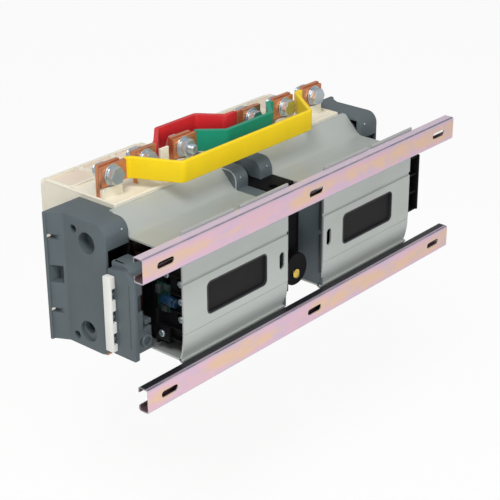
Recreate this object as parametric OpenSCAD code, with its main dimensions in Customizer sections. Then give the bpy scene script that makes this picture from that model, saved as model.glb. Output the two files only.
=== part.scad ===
// Reversing contactor: two three-pole contactors side by side on two mounting rails.
// +X runs along the rails, +Y from the mounting plane to the arc box covers, +Z up.
// The origin is the centre of the rail slot pattern, on the rails' outer faces.

/* [Rails] */
// Length of each mounting rail
rail_length = 582; // [560:1:620]
// Height of the rail's web
rail_height = 30; // [28:1:34]
// Depth of the rail from its web to its lips
rail_depth = 15; // [14:0.5:18]
// Sheet thickness of the rail
rail_gauge = 1.5; // [1.2:0.1:2.5]
// Width of each lip of the rail
rail_lip = 7; // [5:0.5:8]
// Distance between the two rails' centres
rail_pitch = 157; // [154:1:162]
// Distance from a rail's end to the centre of its outer slot
slot_inset = 34; // [30:1:45]
// End to end length of a mounting slot
slot_length = 26; // [18:1:36]
// Width of a mounting slot
slot_width = 8; // [6:0.5:9]

/* [Layout] */
// Distance between the centre lines of the two contactors
unit_pitch = 251; // [250:1:256]
// Distance between neighbouring poles
pole_pitch = 60; // [56:0.5:61]
// Travel of the armature and the contact carrier
travel = 8; // [4:0.5:8]

/* [Back frame] */
// Width of the folded back frame
frame_width = 182; // [178:1:186]
// Sheet thickness of the back frame
frame_gauge = 2.5; // [2:0.1:3]
// Height of the back frame's feet, over both rails
frame_height = 192; // [188:1:198]
// Height of the frame's channel behind the rails
channel_height = 132; // [128:1:138]
// Depth at which the frame begins to slope out to its wider mouth
step_depth = 99; // [96:0.5:101]
// Width of the window in the back plate
window_width = 103; // [80:1:110]
// Height of the window in the back plate
window_height = 40; // [30:1:50]
// Corner radius of the window
window_corner = 6; // [3:0.5:12]
// Gap between the two feet on each rail
foot_gap = 10; // [6:1:16]

/* [Magnet] */
// Width of the magnet core
core_width = 130; // [124:1:136]
// Height of the magnet core
core_height = 76; // [70:1:80]
// Depth of the fixed yoke
yoke_depth = 55; // [50:1:56]
// Width of the middle leg
leg_width = 36; // [30:1:40]
// Depth of the moving armature
armature_depth = 22; // [18:1:24]
// Radius of the interlock peg on the armature
peg_radius = 3; // [2:0.5:3.5]

/* [Arc box] */
// Width of an arc box
box_width = 164; // [162:1:172]
// Height of an arc box
box_height = 184; // [180:1:188]
// Depth at which the arc box begins
box_back = 128; // [127.5:0.5:131]
// Depth at which the arc box ends and its cover begins
box_front = 248; // [244:1:254]
// Wall thickness of the arc box
box_wall = 4; // [3:0.5:4.5]
// Thickness of the front cover
cover_depth = 6; // [5:0.5:8]

/* [Housings] */
// Distance from the unit's centre line to a side housing's outer face
housing_reach = 128; // [124:1:132]
// Height of a side housing
housing_height = 163; // [158:1:166]
// Height of a side housing's top above the centre
housing_top = 89; // [86:1:90]
// Depth at which a side housing begins
housing_back = 97; // [95:1:101]
// Depth at which a side housing ends
housing_front = 186; // [178:1:190]
// Wall thickness of a side housing
housing_wall = 4; // [3:0.5:5]
// Reach of the flange beyond the housing's outer face
flange_reach = 13; // [11:1:18]
// Gap between the two units' inner housings
housing_gap = 23; // [20:1:30]

/* [Terminals and links] */
// Width of a terminal bar
bar_width = 34; // [28:1:35]
// Thickness of terminal bars and links
bar_gauge = 5; // [4:0.5:5.5]
// Depth at which the terminal bars begin
bar_back = 158; // [157:0.5:160]
// Height of the terminal bars' outer ends above the centre
bar_top = 132; // [130:1:136]
// Depth of the load terminals' ends below the centre
load_bottom = 114; // [112:1:120]
// Radius of the holes in the load terminals
load_hole = 5.5; // [4:0.5:6.5]
// Height of a link bar
link_height = 26; // [22:1:27]
// Height of the terminal bolts above the centre
bolt_height = 118; // [117:0.5:119]
// Radius of the terminal bolts
bolt_radius = 6; // [5:0.5:6.5]

/* [Hidden] */
sides = [-1, 1];
levels = [-1, 1];
poles = [-1, 0, 1];
fit = 0.3;
slip = 0.05;
fine = 48;
rail_z = rail_pitch / 2;
slot_x = rail_length / 2 - slot_inset;
frame_x = frame_width / 2;
plate_front = rail_depth + frame_gauge;
channel_z = channel_height / 2;
band_z = channel_z / 2;
tooth_width = 9;
slope_depth = 23;
slope_fold = 1.2;
tooth_length = 22;
tooth_inset = 11;
yoke_back = plate_front;
yoke_front = yoke_back + yoke_depth;
yoke_base = 17;
side_leg = 18;
coil_gap = 1;
armature_back = yoke_front + travel + fit;
armature_front = armature_back + armature_depth;
crossbar_depth = 7;
crossbar_front = armature_front + crossbar_depth;
contact_size = 3;
bridge_gauge = 4;
bridge_back = bar_back + bar_gauge + 2 * contact_size + travel + fit;
bridge_front = bridge_back + bridge_gauge;
contact_z = 34;
stem_width = 22;
stem_depth = 46;
stem_front = bridge_back + 34;
window_front = stem_front - 5;
spring_wire = 2.4;
spring_length = window_front - bridge_front;
housing_bottom = housing_top - housing_height;
box_x = box_width / 2;
box_z = box_height / 2;
mouth_z = box_z - box_wall + frame_gauge;
housing_inner = box_x + fit;
inner_reach = (unit_pitch - housing_gap) / 2;
tip_width = 4;
flank_depth = 21;
nose_height = 29;
nose_depth = 21;
shelf_depth = 32;
shelf_gauge = 5;
load_height = (box_z + load_bottom) / 2;
frame_clear = frame_x + fit;
aux_front = housing_back - 3;
aux_back = aux_front - 40;
aux_top = 42;
aux_bottom = -64;
aux_inner = frame_x;
aux_outer = frame_x + 39;
aux_plate = 7;
aux_wall = 12;
strip_depth = 12;
strip_width = 8;
panel_gauge = 3;
gap_half = unit_pitch / 2 - frame_x;
peg_y = armature_back + peg_radius + 3;
peg_reach = 9;
lever_y = peg_y - 10;
lever_x = 6;
lever_arm = gap_half - 6 - lever_x;
lever_gauge = 6;
lever_gap = 2;
pin_radius = 2.5;
drum_radius = 21;
drum_back = plate_front + 6.5;
drum_x = -8.5;
drum_z = -27;
stop_radius = 5;
stop_z = drum_z - 5;
pin_length = 24;
washer_radius = 13;
washer_gauge = 2.5;
hex_radius = 11;
head_depth = 8;
nut_depth = 9;
tail = 8;
seat_height = bolt_height - washer_radius - 1;
lug_radius = 6.5;
link_front = bar_back - bar_gauge / 2;
link_behind = bar_back + bar_gauge * 1.5;
// Where each link leaves its first terminal, and where it reaches its last: [x, y] in between.
yellow_path = [[-156, link_front], [-128, 96], [107, 96], [151, link_front]];
green_path = [[-40, link_front], [-15, 128], [68, 128], [94, link_front]];
red_path = [[-101, link_behind], [-67, 197], [2, 197], [24, link_behind]];

// Puts a unit's parts in place: its own +X points outward, to the assembly's nearer end.
module unit(side) {
    translate([side * unit_pitch / 2, 0, 0]) mirror([side < 0 ? 1 : 0, 0, 0]) children();
}

// A block between two corners.
module block(low, high) {
    translate(low) cube([high[0] - low[0], high[1] - low[1], high[2] - low[2]]);
}

// A round bar along +Y.
module rod(radius, from, to) {
    translate([0, from, 0]) rotate([-90, 0, 0]) cylinder(r = radius, h = to - from, $fn = fine);
}

// A hexagon bar along +Y.
module hexagon(radius, from, to) {
    translate([0, from, 0]) rotate([-90, 0, 0]) cylinder(r = radius, h = to - from, $fn = 6);
}

// A rectangle with round corners, centred.
module rounded(width, height, corner) {
    square([width - 2 * corner, height], center = true);
    square([width, height - 2 * corner], center = true);
    for (x = sides, z = levels)
        translate([x * (width / 2 - corner), z * (height / 2 - corner)]) circle(r = corner, $fn = fine);
}

// A slot outline with round ends, lying along X.
module slot(length, width) {
    square([length - width, width], center = true);
    for (x = sides) translate([x * (length - width) / 2, 0]) circle(d = width, $fn = fine);
}

// A plate in the XZ plane, from one depth to another, with the outline of its children.
module plate(from, to) {
    translate([0, to, 0]) rotate([90, 0, 0]) linear_extrude(height = to - from) children();
}

// A profile in the YZ plane, drawn with Y to the right, run along X from one place to another.
module along_x(from, to) {
    translate([from, 0, 0]) rotate([90, 0, 90]) linear_extrude(height = to - from) children();
}

// C rail with its web on the mounting plane and its mouth towards the contactors.
module rail(level) {
    color("thistle") translate([0, 0, level * rail_z]) difference() {
        along_x(-rail_length / 2, rail_length / 2) difference() {
            translate([0, -rail_height / 2]) square([rail_depth, rail_height]);
            translate([rail_gauge, rail_gauge - rail_height / 2])
                square([rail_depth - 2 * rail_gauge, rail_height - 2 * rail_gauge]);
            translate([rail_gauge, rail_lip - rail_height / 2])
                square([rail_depth, rail_height - 2 * rail_lip]);
        }
        for (x = [-slot_x, 0, slot_x])
            translate([x, 0, 0]) plate(-1, rail_gauge + 1) slot(slot_length, slot_width);
    }
}

// Folded sheet frame: a back plate with feet, a channel, and a slope out to its wider mouth.
module back_frame() {
    groove = frame_gauge / 3;
    color("darkgray") difference() {
        union() {
            block([-frame_x, rail_depth, -frame_height / 2], [frame_x, plate_front, frame_height / 2]);
            for (z = levels) mirror([0, 0, z < 0 ? 1 : 0]) along_x(-frame_x, frame_x)
                polygon([[rail_depth, channel_z - frame_gauge],
                         [step_depth + slope_fold, channel_z - frame_gauge],
                         [step_depth + slope_depth + slope_fold, mouth_z - frame_gauge],
                         [box_back, mouth_z - frame_gauge], [box_back, mouth_z],
                         [step_depth + slope_depth, mouth_z], [step_depth, channel_z], [rail_depth, channel_z]]);
        }
        plate(rail_depth - 1, plate_front + 1) rounded(window_width, window_height, window_corner);
        translate([tooth_inset - frame_x, 0, 0])
            plate(rail_depth - 1, plate_front + 1) rotate(90) slot(tooth_length, tooth_width);
        for (z = levels) block([-foot_gap / 2, rail_depth - 1, z * frame_height / 2 - 24],
                               [foot_gap / 2, plate_front + 1, z * frame_height / 2 + 24]);
        block([-frame_x - 1, rail_depth - 1, band_z - 3], [frame_x + 1, rail_depth + groove, band_z]);
        block([-frame_x - 1, rail_depth - 1, -band_z], [frame_x + 1, rail_depth + groove, 1 - band_z]);
        for (x = sides, z = levels) translate([x * frame_x * 0.66, 0, z * rail_z])
            rod(4 + slip, rail_depth - 1, plate_front + 1);
    }
}

// Ribbed cover over the coil's terminals, on the outer side of the right unit.
module coil_cover() {
    color("black") {
        block([frame_x, 16, -26], [frame_x + 24, 20, 52]);
        block([frame_x, 20, -26], [frame_x + 4, 44, 52]);
        for (i = [0:4]) block([frame_x + 3, 19, i * 18.5 - 25], [frame_x + 24, 44, i * 18.5 - 22]);
    }
}

// Hexagon bolts through the feet into channel nuts behind the rails' lips.
module rail_fixings() {
    nut_back = rail_gauge + fit;
    nut_front = rail_depth - rail_gauge;
    color("lightsteelblue") for (x = sides, z = levels) translate([x * frame_x * 0.66, 0, z * rail_z]) {
        hexagon(7, plate_front, plate_front + 5);
        rod(4, nut_back + 2, plate_front);
        difference() {
            block([-9, nut_back, rail_gauge + fit - rail_height / 2],
                  [9, nut_front, rail_height / 2 - rail_gauge - fit]);
            rod(4, 0, rail_depth);
        }
    }
}

// Fixed E core with a short-circuit ring in the face of each outer leg.
module magnet_yoke() {
    color("dimgray") {
        block([-core_width / 2, yoke_back, -core_height / 2],
              [core_width / 2, yoke_back + yoke_base, core_height / 2]);
        block([-leg_width / 2, yoke_back, -core_height / 2], [leg_width / 2, yoke_front, core_height / 2]);
        for (x = sides) translate([x * (core_width - side_leg) / 2, 0, 0])
            block([-side_leg / 2, yoke_back, -core_height / 2], [side_leg / 2, yoke_front, core_height / 2]);
    }
}

// Coil former: a tube round the middle leg with a flange at each end.
module coil_bobbin() {
    back = yoke_back + yoke_base + fit;
    front = yoke_front - fit;
    half = core_width / 2 - side_leg - coil_gap;
    high = channel_z - frame_gauge - coil_gap;
    color("black") difference() {
        union() {
            for (y = [back, front - 2]) block([-half, y, -high], [half, y + 2, high]);
            block([-leg_width / 2 - 3, back, -core_height / 2 - 3], [leg_width / 2 + 3, front, core_height / 2 + 3]);
        }
        block([-leg_width / 2 - fit, back - 1, -core_height / 2 - fit],
              [leg_width / 2 + fit, front + 1, core_height / 2 + fit]);
    }
}

// Coil of copper wire on the former.
module coil_winding() {
    back = yoke_back + yoke_base + fit + 2;
    front = yoke_front - fit - 2;
    half = core_width / 2 - side_leg - coil_gap - 2;
    high = channel_z - frame_gauge - coil_gap - 2;
    color("sienna") difference() {
        plate(back, front) rounded(2 * half, 2 * high, 9);
        block([-leg_width / 2 - 3, back - 1, -core_height / 2 - 3],
              [leg_width / 2 + 3, front + 1, core_height / 2 + 3]);
    }
}

// Moving core with the peg that works the interlock.
module armature(side) {
    color("gray") {
        block([-core_width / 2, armature_back, -core_height / 2],
              [core_width / 2, armature_front, core_height / 2]);
        translate([-frame_x - peg_reach, peg_y, -side * (lever_gap + lever_gauge) / 2]) rotate([0, 90, 0])
            cylinder(r = peg_radius, h = frame_x + peg_reach + 4 - core_width / 2, $fn = fine);
    }
}

// Moulded carrier: a crossbar on the armature and one stem with a window for each pole.
module contact_carrier() {
    color("saddlebrown") difference() {
        union() {
            block([-core_width / 2 - 6, armature_front, -core_height / 2],
                  [core_width / 2 + 6, crossbar_front, core_height / 2]);
            for (p = poles) translate([p * pole_pitch, 0, 0])
                block([-stem_width / 2, crossbar_front, -stem_depth / 2],
                      [stem_width / 2, stem_front, stem_depth / 2]);
        }
        for (p = poles) translate([p * pole_pitch, 0, 0])
            block([3 - stem_width / 2, bridge_back - fit, -stem_depth],
                  [stem_width / 2 - 3, window_front, stem_depth]);
    }
}

// One moving contact bridge for each pole, with a silver contact at each end.
module contact_bridges() {
    color("peru") for (p = poles) translate([p * pole_pitch, 0, 0]) {
        block([3 + fit - stem_width / 2, bridge_back, -contact_z - 6],
              [stem_width / 2 - 3 - fit, bridge_front, contact_z + 6]);
        for (z = levels) translate([0, 0, z * contact_z]) rod(5, bridge_back - contact_size, bridge_back);
    }
}

// Contact springs between the bridges and the ends of the carrier's windows.
module contact_springs() {
    turns = floor(spring_length / (spring_wire * 0.95));
    pitch = (spring_length - spring_wire) / (turns - 1);
    color("silver") for (p = poles) translate([p * pole_pitch, bridge_front, 0]) rotate([-90, 0, 0])
        for (i = [0:turns - 1]) translate([0, 0, spring_wire / 2 + i * pitch])
            rotate_extrude($fn = fine) translate([6, 0]) circle(d = spring_wire, $fn = 24);
}

// Plastic side wall between the frame and the interlock.
module inner_panel() {
    color("dimgray") difference() {
        block([-frame_x, plate_front, fit - channel_z + frame_gauge],
              [panel_gauge - frame_x, step_depth - frame_gauge, channel_z - frame_gauge - fit]);
        block([-frame_x - 1, peg_y - travel - peg_radius - 3, -16], [panel_gauge - frame_x + 1, step_depth, 16]);
    }
}

// Footprint of a side housing, with its flank flaring out to the flange.
module housing_footprint(reach, flare) {
    corner = 4;
    tip = reach + flare;
    polygon([[frame_clear, housing_back], [reach - corner, housing_back], [reach, housing_back + corner],
             [reach, housing_front - flank_depth], [tip - (flare > 0 ? tip_width : 0), housing_front - housing_wall],
             [tip, housing_front - housing_wall], [tip, housing_front], [housing_inner, housing_front],
             [housing_inner, box_back], [frame_clear, box_back]]);
}

// Rounds a side housing's two edges towards the mounting side.
module nose_rounding(reach) {
    nose = 14;
    for (end = [[housing_top, 0], [housing_bottom, 1]])
        translate([0, 0, end[0]]) mirror([0, 0, end[1]]) difference() {
            along_x(frame_clear - 1, reach + 1)
                translate([housing_back - 1, -nose]) square([nose + 1, nose + 1]);
            along_x(frame_clear - 2, reach + 2)
                translate([housing_back + nose, -nose]) circle(r = nose, $fn = fine);
        }
}

// Round holes in a side housing's outer face: [radius, depth, height].
module face_holes(reach) {
    for (hole = [[13, 128, 62], [13, 132, -51], [5, 149, 74], [5, 152, -62]])
        translate([reach - 10, hole[1], hole[2]]) rotate([0, 90, 0]) cylinder(r = hole[0], h = 12, $fn = fine);
}

// Outer side housing: hollow beside the arc box and under its nose, with a flange.
module outer_housing() {
    color("slategray") difference() {
        translate([0, 0, housing_bottom]) linear_extrude(height = housing_height)
            housing_footprint(housing_reach, flange_reach);
        nose_rounding(housing_reach);
        block([housing_inner - 1, box_back + housing_wall, housing_bottom + housing_wall],
              [housing_reach - housing_wall, housing_front - housing_wall, housing_top - housing_wall]);
        block([frame_clear - 1, housing_back - 1, housing_bottom + housing_wall],
              [housing_reach - housing_wall, housing_back + nose_depth, housing_top - nose_height]);
        face_holes(housing_reach);
        block([housing_reach - housing_wall - 1, housing_front - flank_depth + 3, 0],
              [housing_reach + flange_reach - tip_width, housing_front - housing_wall, 22]);
        for (z = [58, -36]) translate([housing_reach + flange_reach - tip_width, 0, z])
            rod(3, housing_front - flank_depth, housing_front + 1);
    }
}

// Inner side housing, with a shelf over the interlock.
module inner_housing() {
    color("slategray") difference() {
        union() {
            difference() {
                translate([0, 0, housing_bottom]) linear_extrude(height = housing_height)
                    housing_footprint(inner_reach, 0);
                nose_rounding(inner_reach);
            }
            block([frame_clear, housing_back - shelf_depth, housing_top - nose_height],
                  [inner_reach, housing_back + 1, housing_top - nose_height + shelf_gauge]);
        }
        block([housing_inner - 1, box_back + housing_wall, housing_bottom + housing_wall],
              [inner_reach - housing_wall, housing_front - housing_wall, housing_top - housing_wall]);
        face_holes(inner_reach);
    }
}

function chamber_from(p) = p < 0 ? box_wall - box_x : p * pole_pitch - pole_pitch / 2 + 2;
function chamber_to(p) = p > 0 ? box_x - box_wall : p * pole_pitch + pole_pitch / 2 - 2;

// Cream arc box: three chambers, seats and slots for the terminal bars, pockets by the cover.
module arc_box(side) {
    color("cornsilk") difference() {
        union() {
            block([-box_x, box_back, -box_z], [box_x, box_front, box_z]);
            for (p = poles) translate([p * pole_pitch, 0, 0])
                block([3 - bar_width / 2, bar_back - 7, box_z - 1], [bar_width / 2 - 3, bar_back, seat_height]);
            if (side < 0) translate([-pole_pitch / 2, 0, 0])
                block([-7, bar_back - 2, box_z - 1], [7, bar_back + 1, bolt_height + 6]);
        }
        for (p = poles) block([chamber_from(p), box_back - 1, box_wall - box_z],
                              [chamber_to(p), box_front + 1, box_z - box_wall]);
        for (p = poles) translate([p * pole_pitch, 0, 0]) {
            for (z = levels) mirror([0, 0, z < 0 ? 1 : 0]) {
                block([-bar_width / 2, bar_back, box_z - box_wall - 1],
                      [bar_width / 2, bar_back + bar_gauge, box_z + 1]);
                block([-20, box_front - 16, box_z - box_wall / 2], [20, box_front - 3, box_z + 1]);
            }
        }
    }
}

// Front cover of the arc box, with vents for each pole and a hole for the indicator.
module arc_cover() {
    color("ivory") difference() {
        union() {
            plate(box_front, box_front + cover_depth) rounded(box_width, box_height, 5);
            block([-box_x + 10, box_front + cover_depth - 1, -24], [box_x - 10, box_front + cover_depth + 3, 24]);
        }
        for (p = poles, z = levels, row = [0:4]) translate([p * pole_pitch, 0, z * (40 + row * 9)])
            plate(box_front - 1, box_front + cover_depth + 1) slot(34, 4);
        rod(6 + fit, box_front - 1, box_front + cover_depth + 4);
    }
}

// Stacks of steel plates that split the arc, above and below each pole's contacts.
module splitter_plates() {
    color("silver") for (p = poles, z = levels, i = [0:4]) mirror([0, 0, z < 0 ? 1 : 0])
        block([chamber_from(p), bridge_front + 14 + i * 9, contact_z + 12],
              [chamber_to(p), bridge_front + 16 + i * 9, box_z - box_wall]);
}

// Line terminal bars above and shorter load terminal bars below, with their fixed contacts and bolt holes.
module terminal_bars() {
    color("peru") for (p = poles, z = levels) mirror([0, 0, z < 0 ? 1 : 0]) translate([p * pole_pitch, 0, 0]) {
        difference() {
            block([-bar_width / 2, bar_back, stem_depth / 2 + 3],
                  [bar_width / 2, bar_back + bar_gauge, z > 0 ? bar_top : load_bottom]);
            translate([0, 0, z > 0 ? bolt_height : load_height])
                rod(z > 0 ? lug_radius : load_hole, bar_back - 1, bar_back + bar_gauge + 1);
        }
        translate([0, 0, contact_z]) rod(5, bar_back + bar_gauge, bar_back + bar_gauge + contact_size);
    }
}

// A terminal's stack of link and bar: its back, its front, and where its bolt is turned round.
function behind(side, p) = (side < 0 && p == 0) || (side > 0 && p == -1);
function stack_back(side, p) = bar_back - (behind(side, p) ? 0 : bar_gauge);
function stack_front(side, p) = bar_back + bar_gauge * (behind(side, p) ? 2 : 1);
function turned(side, p) = side < 0 && p == -1;

// Turns its children round along Y, about the middle of a terminal's stack, where the bolt is turned.
module turned_stack(side, p) {
    middle = (stack_back(side, p) + stack_front(side, p)) / 2;
    translate([0, middle, 0]) mirror([0, turned(side, p) ? 1 : 0, 0]) translate([0, -middle, 0]) children();
}

// Hexagon bolts with a washer under the head, one for each line terminal.
module terminal_bolts(side) {
    color("lightsteelblue") for (p = poles) translate([p * pole_pitch, 0, bolt_height])
        turned_stack(side, p) {
            back = stack_back(side, p) - washer_gauge;
            rod(washer_radius, back, back + washer_gauge);
            hexagon(hex_radius, back - head_depth, back);
            rod(bolt_radius, back, stack_front(side, p) + washer_gauge + nut_depth + tail);
        }
}

// Hexagon nuts with their washers.
module terminal_nuts(side) {
    color("lightsteelblue") for (p = poles) translate([p * pole_pitch, 0, bolt_height])
        turned_stack(side, p) {
            front = stack_front(side, p);
            difference() {
                union() {
                    rod(washer_radius, front, front + washer_gauge);
                    hexagon(hex_radius, front + washer_gauge, front + washer_gauge + nut_depth);
                }
                rod(bolt_radius + slip, front - 1, front + washer_gauge + nut_depth + 1);
            }
        }
}

// Auxiliary contact block beside the frame: outer plate, back wall, lower body and top.
module auxiliary_block() {
    inner = aux_outer - aux_plate + 1;
    color("black") {
        block([aux_outer - aux_plate, aux_back, aux_bottom], [aux_outer, aux_front, aux_top]);
        block([aux_inner, aux_front - aux_wall, aux_bottom], [inner, aux_front, aux_top]);
        block([aux_inner + 6, aux_back + 6, aux_bottom + 4], [inner, aux_front, -30]);
        block([aux_inner + 8, aux_back + 8, aux_top - 8], [inner, aux_front - 1, aux_top + 8]);
    }
}

// White terminal strip with three open clamps along the auxiliary block.
module auxiliary_strip() {
    back = aux_front - strip_depth;
    color("ivory") difference() {
        block([aux_outer, back, aux_bottom + 6], [aux_outer + strip_width, aux_front, aux_top - 6]);
        for (i = [0:2]) block([aux_outer + 3, back - 1, aux_bottom + 16 + i * 28],
                              [aux_outer + strip_width + 1, aux_front + 1, aux_bottom + 28 + i * 28]);
    }
}

// Circuit board that feeds the coil, with its coil block and capacitor, on the frame's outer side.
module coil_board() {
    color("seagreen") {
        block([core_width / 2 + fit, yoke_back, -50], [frame_x - 8, yoke_front - 1, 44]);
        block([frame_x - 8, plate_front + 8, -46], [frame_x - 6, yoke_front - 14, 20]);
        translate([frame_x - 6, plate_front + 24, -6]) rotate([0, 90, 0]) cylinder(r = 6, h = 5, $fn = fine);
    }
}

// Screws of the coil's clamps and of the board.
module coil_screws() {
    color("silver") for (place = [[plate_front + 12, 8], [plate_front + 12, -34], [yoke_front - 22, 8], [yoke_front - 22, -34]])
        translate([frame_x - 6, place[0], place[1]]) rotate([0, 90, 0]) cylinder(r = 3.5, h = 3, $fn = fine);
}

// Position indicator on the carrier's middle stem, seen through the cover.
module indicator() {
    color("firebrick") {
        rod(6, stem_front, box_front + cover_depth + 3 + travel);
    }
}

// Bent flat link on edge, from its first terminal to its last by way of the four bends between.
module link(first, last, bends, tint) {
    flat = bends[0][1];
    path = concat([[first - bar_width / 2, flat]], bends, [[last + bar_width / 2, flat]]);
    color(tint) difference() {
        translate([0, 0, bar_top - 1 - link_height]) linear_extrude(height = link_height)
            polygon(concat([for (i = [0:5]) mitre(path, i, bar_gauge / 2)],
                           [for (i = [5:-1:0]) mitre(path, i, -bar_gauge / 2)]));
        for (x = [first, last]) translate([x, 0, bolt_height]) rod(lug_radius, flat - bar_gauge, flat + bar_gauge);
    }
}

// The direction of a path's leg, and a path's corner moved aside by half a bar's thickness.
function way(path, i) = let (leg = path[i + 1] - path[i]) leg / norm(leg);
function mitre(path, i, half) =
    let (a = way(path, max(i - 1, 0)), b = way(path, min(i, len(path) - 2)), n = [-a[1] - b[1], a[0] + b[0]])
    path[i] + n * half * 2 / (n * n);
function terminal_x(side, p) = side * (unit_pitch / 2 + p * pole_pitch);

// Black moulding between the two units: a drum towards the rails, and a box for the interlock levers.
module interlock_housing() {
    back = lever_y - 22;
    front = step_depth - frame_gauge;
    window = lever_gap / 2 + lever_gauge + 2;
    color("black") difference() {
        union() {
            block([-gap_half, back, -30], [gap_half, front, 50]);
            translate([drum_x, 0, drum_z]) rod(drum_radius, drum_back, front);
        }
        block([-gap_half - 1, back + 5, -window], [gap_half + 1, front + 1, window]);
        interlock_pin_pair();
        translate([drum_x, 0, stop_z]) rod(stop_radius, drum_back - 1, drum_back + 6);
    }
}

// Two hinge pins, one for each lever.
module interlock_pins() {
    color("silver") interlock_pin_pair();
}

// The left pin goes into the wall above, and the right pin into the wall below.
module interlock_pin_pair() {
    for (x = sides) translate([x * lever_x, lever_y, x < 0 ? fit : -fit - pin_length])
        cylinder(r = pin_radius, h = pin_length, $fn = fine);
}

// Brass stop in the drum's face, seen in the gap between the units.
module interlock_stop() {
    color("goldenrod") translate([drum_x, 0, stop_z]) rod(stop_radius, drum_back - 2, drum_back + 6);
}

// Lever that the unit's peg turns about its pin.
module interlock_lever(side) {
    low = side < 0 ? lever_gap / 2 : -lever_gap / 2 - lever_gauge;
    top = peg_y - peg_radius - fit - lever_y;
    color("gray") translate([side * lever_x, lever_y, low]) mirror([side < 0 ? 1 : 0, 0, 0])
        linear_extrude(height = lever_gauge) difference() {
            union() {
                translate([0, top - 5]) square([lever_arm, 5]);
                circle(r = top, $fn = fine);
                translate([-16, -3]) square([16, 6]);
            }
            circle(r = pin_radius + slip, $fn = fine);
        }
}

module is(name) {
    children();
}

is("rail_upper") rail(1);
is("rail_lower") rail(-1);
is("link_yellow") link(terminal_x(-1, 1), terminal_x(1, 1), yellow_path, "gold");
is("link_green") link(terminal_x(-1, -1), terminal_x(1, 0), green_path, "seagreen");
is("link_red") link(terminal_x(-1, 0), terminal_x(1, -1), red_path, "crimson");
is("interlock_housing") interlock_housing();
is("interlock_pins") interlock_pins();
is("interlock_stop") interlock_stop();
is("interlock_lever_left") interlock_lever(-1);
is("interlock_lever_right") interlock_lever(1);
is("coil_cover") unit(1) coil_cover();
for (side = sides) {
    name = side < 0 ? "left" : "right";
    is(str("back_frame_", name)) unit(side) back_frame();
    is(str("rail_fixings_", name)) unit(side) rail_fixings();
    is(str("magnet_yoke_", name)) unit(side) magnet_yoke();
    is(str("coil_bobbin_", name)) unit(side) coil_bobbin();
    is(str("coil_winding_", name)) unit(side) coil_winding();
    is(str("armature_", name)) unit(side) armature(side);
    is(str("contact_carrier_", name)) unit(side) contact_carrier();
    is(str("contact_bridges_", name)) unit(side) contact_bridges();
    is(str("contact_springs_", name)) unit(side) contact_springs();
    is(str("inner_panel_", name)) unit(side) inner_panel();
    is(str("outer_housing_", name)) unit(side) outer_housing();
    is(str("inner_housing_", name)) unit(side) mirror([1, 0, 0]) inner_housing();
    is(str("arc_box_", name)) unit(side) arc_box(side);
    is(str("arc_cover_", name)) unit(side) arc_cover();
    is(str("splitter_plates_", name)) unit(side) splitter_plates();
    is(str("terminal_bars_", name)) unit(side) terminal_bars();
    is(str("terminal_bolts_", name)) unit(side) terminal_bolts(side);
    is(str("terminal_nuts_", name)) unit(side) terminal_nuts(side);
    is(str("auxiliary_block_", name)) unit(side) auxiliary_block();
    is(str("auxiliary_strip_", name)) unit(side) auxiliary_strip();
    is(str("coil_board_", name)) unit(side) coil_board();
    is(str("coil_screws_", name)) unit(side) coil_screws();
    is(str("indicator_", name)) unit(side) indicator();
}
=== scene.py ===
import math

import bmesh
import bpy
from mathutils import Matrix, Vector


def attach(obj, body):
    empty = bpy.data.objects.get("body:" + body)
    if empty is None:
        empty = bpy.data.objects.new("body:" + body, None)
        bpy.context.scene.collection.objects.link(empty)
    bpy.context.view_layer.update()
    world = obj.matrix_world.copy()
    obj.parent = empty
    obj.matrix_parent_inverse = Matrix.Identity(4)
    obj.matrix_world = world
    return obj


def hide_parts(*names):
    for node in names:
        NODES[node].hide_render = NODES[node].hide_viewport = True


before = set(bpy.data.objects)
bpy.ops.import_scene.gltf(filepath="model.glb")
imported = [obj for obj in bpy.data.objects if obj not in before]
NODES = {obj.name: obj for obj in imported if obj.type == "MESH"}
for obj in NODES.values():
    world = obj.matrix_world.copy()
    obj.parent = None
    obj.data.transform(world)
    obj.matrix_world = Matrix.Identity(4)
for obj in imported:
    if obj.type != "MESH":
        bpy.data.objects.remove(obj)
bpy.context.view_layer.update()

bl_info = {
    "name": "Reversing contactor",
    "version": (1, 0, 0),
    "blender": (4, 5, 0),
    "location": "View3D > Sidebar > Contactor",
    "description": "Dresses a reversing contactor's solids with detailed pieces and finishes",
    "category": "Object",
}

# Millimetres in the part's frame, as in its solids.
SIDES = {"left": -1, "right": 1}
UNIT_X = 125.5
POLE = 60.0
POLES = (-1, 0, 1)

RAIL_Z = 78.5
RAIL_END = 291.0
RAIL_HALF = 15.0
RAIL_DEPTH = 15.0
RAIL_GAUGE = 1.5
LIP_Z = 8.0
SLOT_X = 257.0
SLOT_REACH = 13.0
SLOT_HALF = 4.0

FRAME_X = 91.0
SHEET = 2.5
WINDOW_X = 51.5
WINDOW_Z = 20.0
WINDOW_CORNER = 6.0
TOOTH_X = 80.0
FOOT_Z = 84.0
PLATE_CUT = ("Y", 10, 30)

BOX_X = 82.0
BOX_Z = 92.0
BOX_BACK = 128.0
BOX_FRONT = 248.0
RIM = 3.2
POCKET_PITCH = 53.0
POCKET_HALF = 23.5
POCKET_BACK = 209.0
SEAT_HALF = 15.4
SCREW_X = 72.0
SCREW_Z = 34.0

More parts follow.
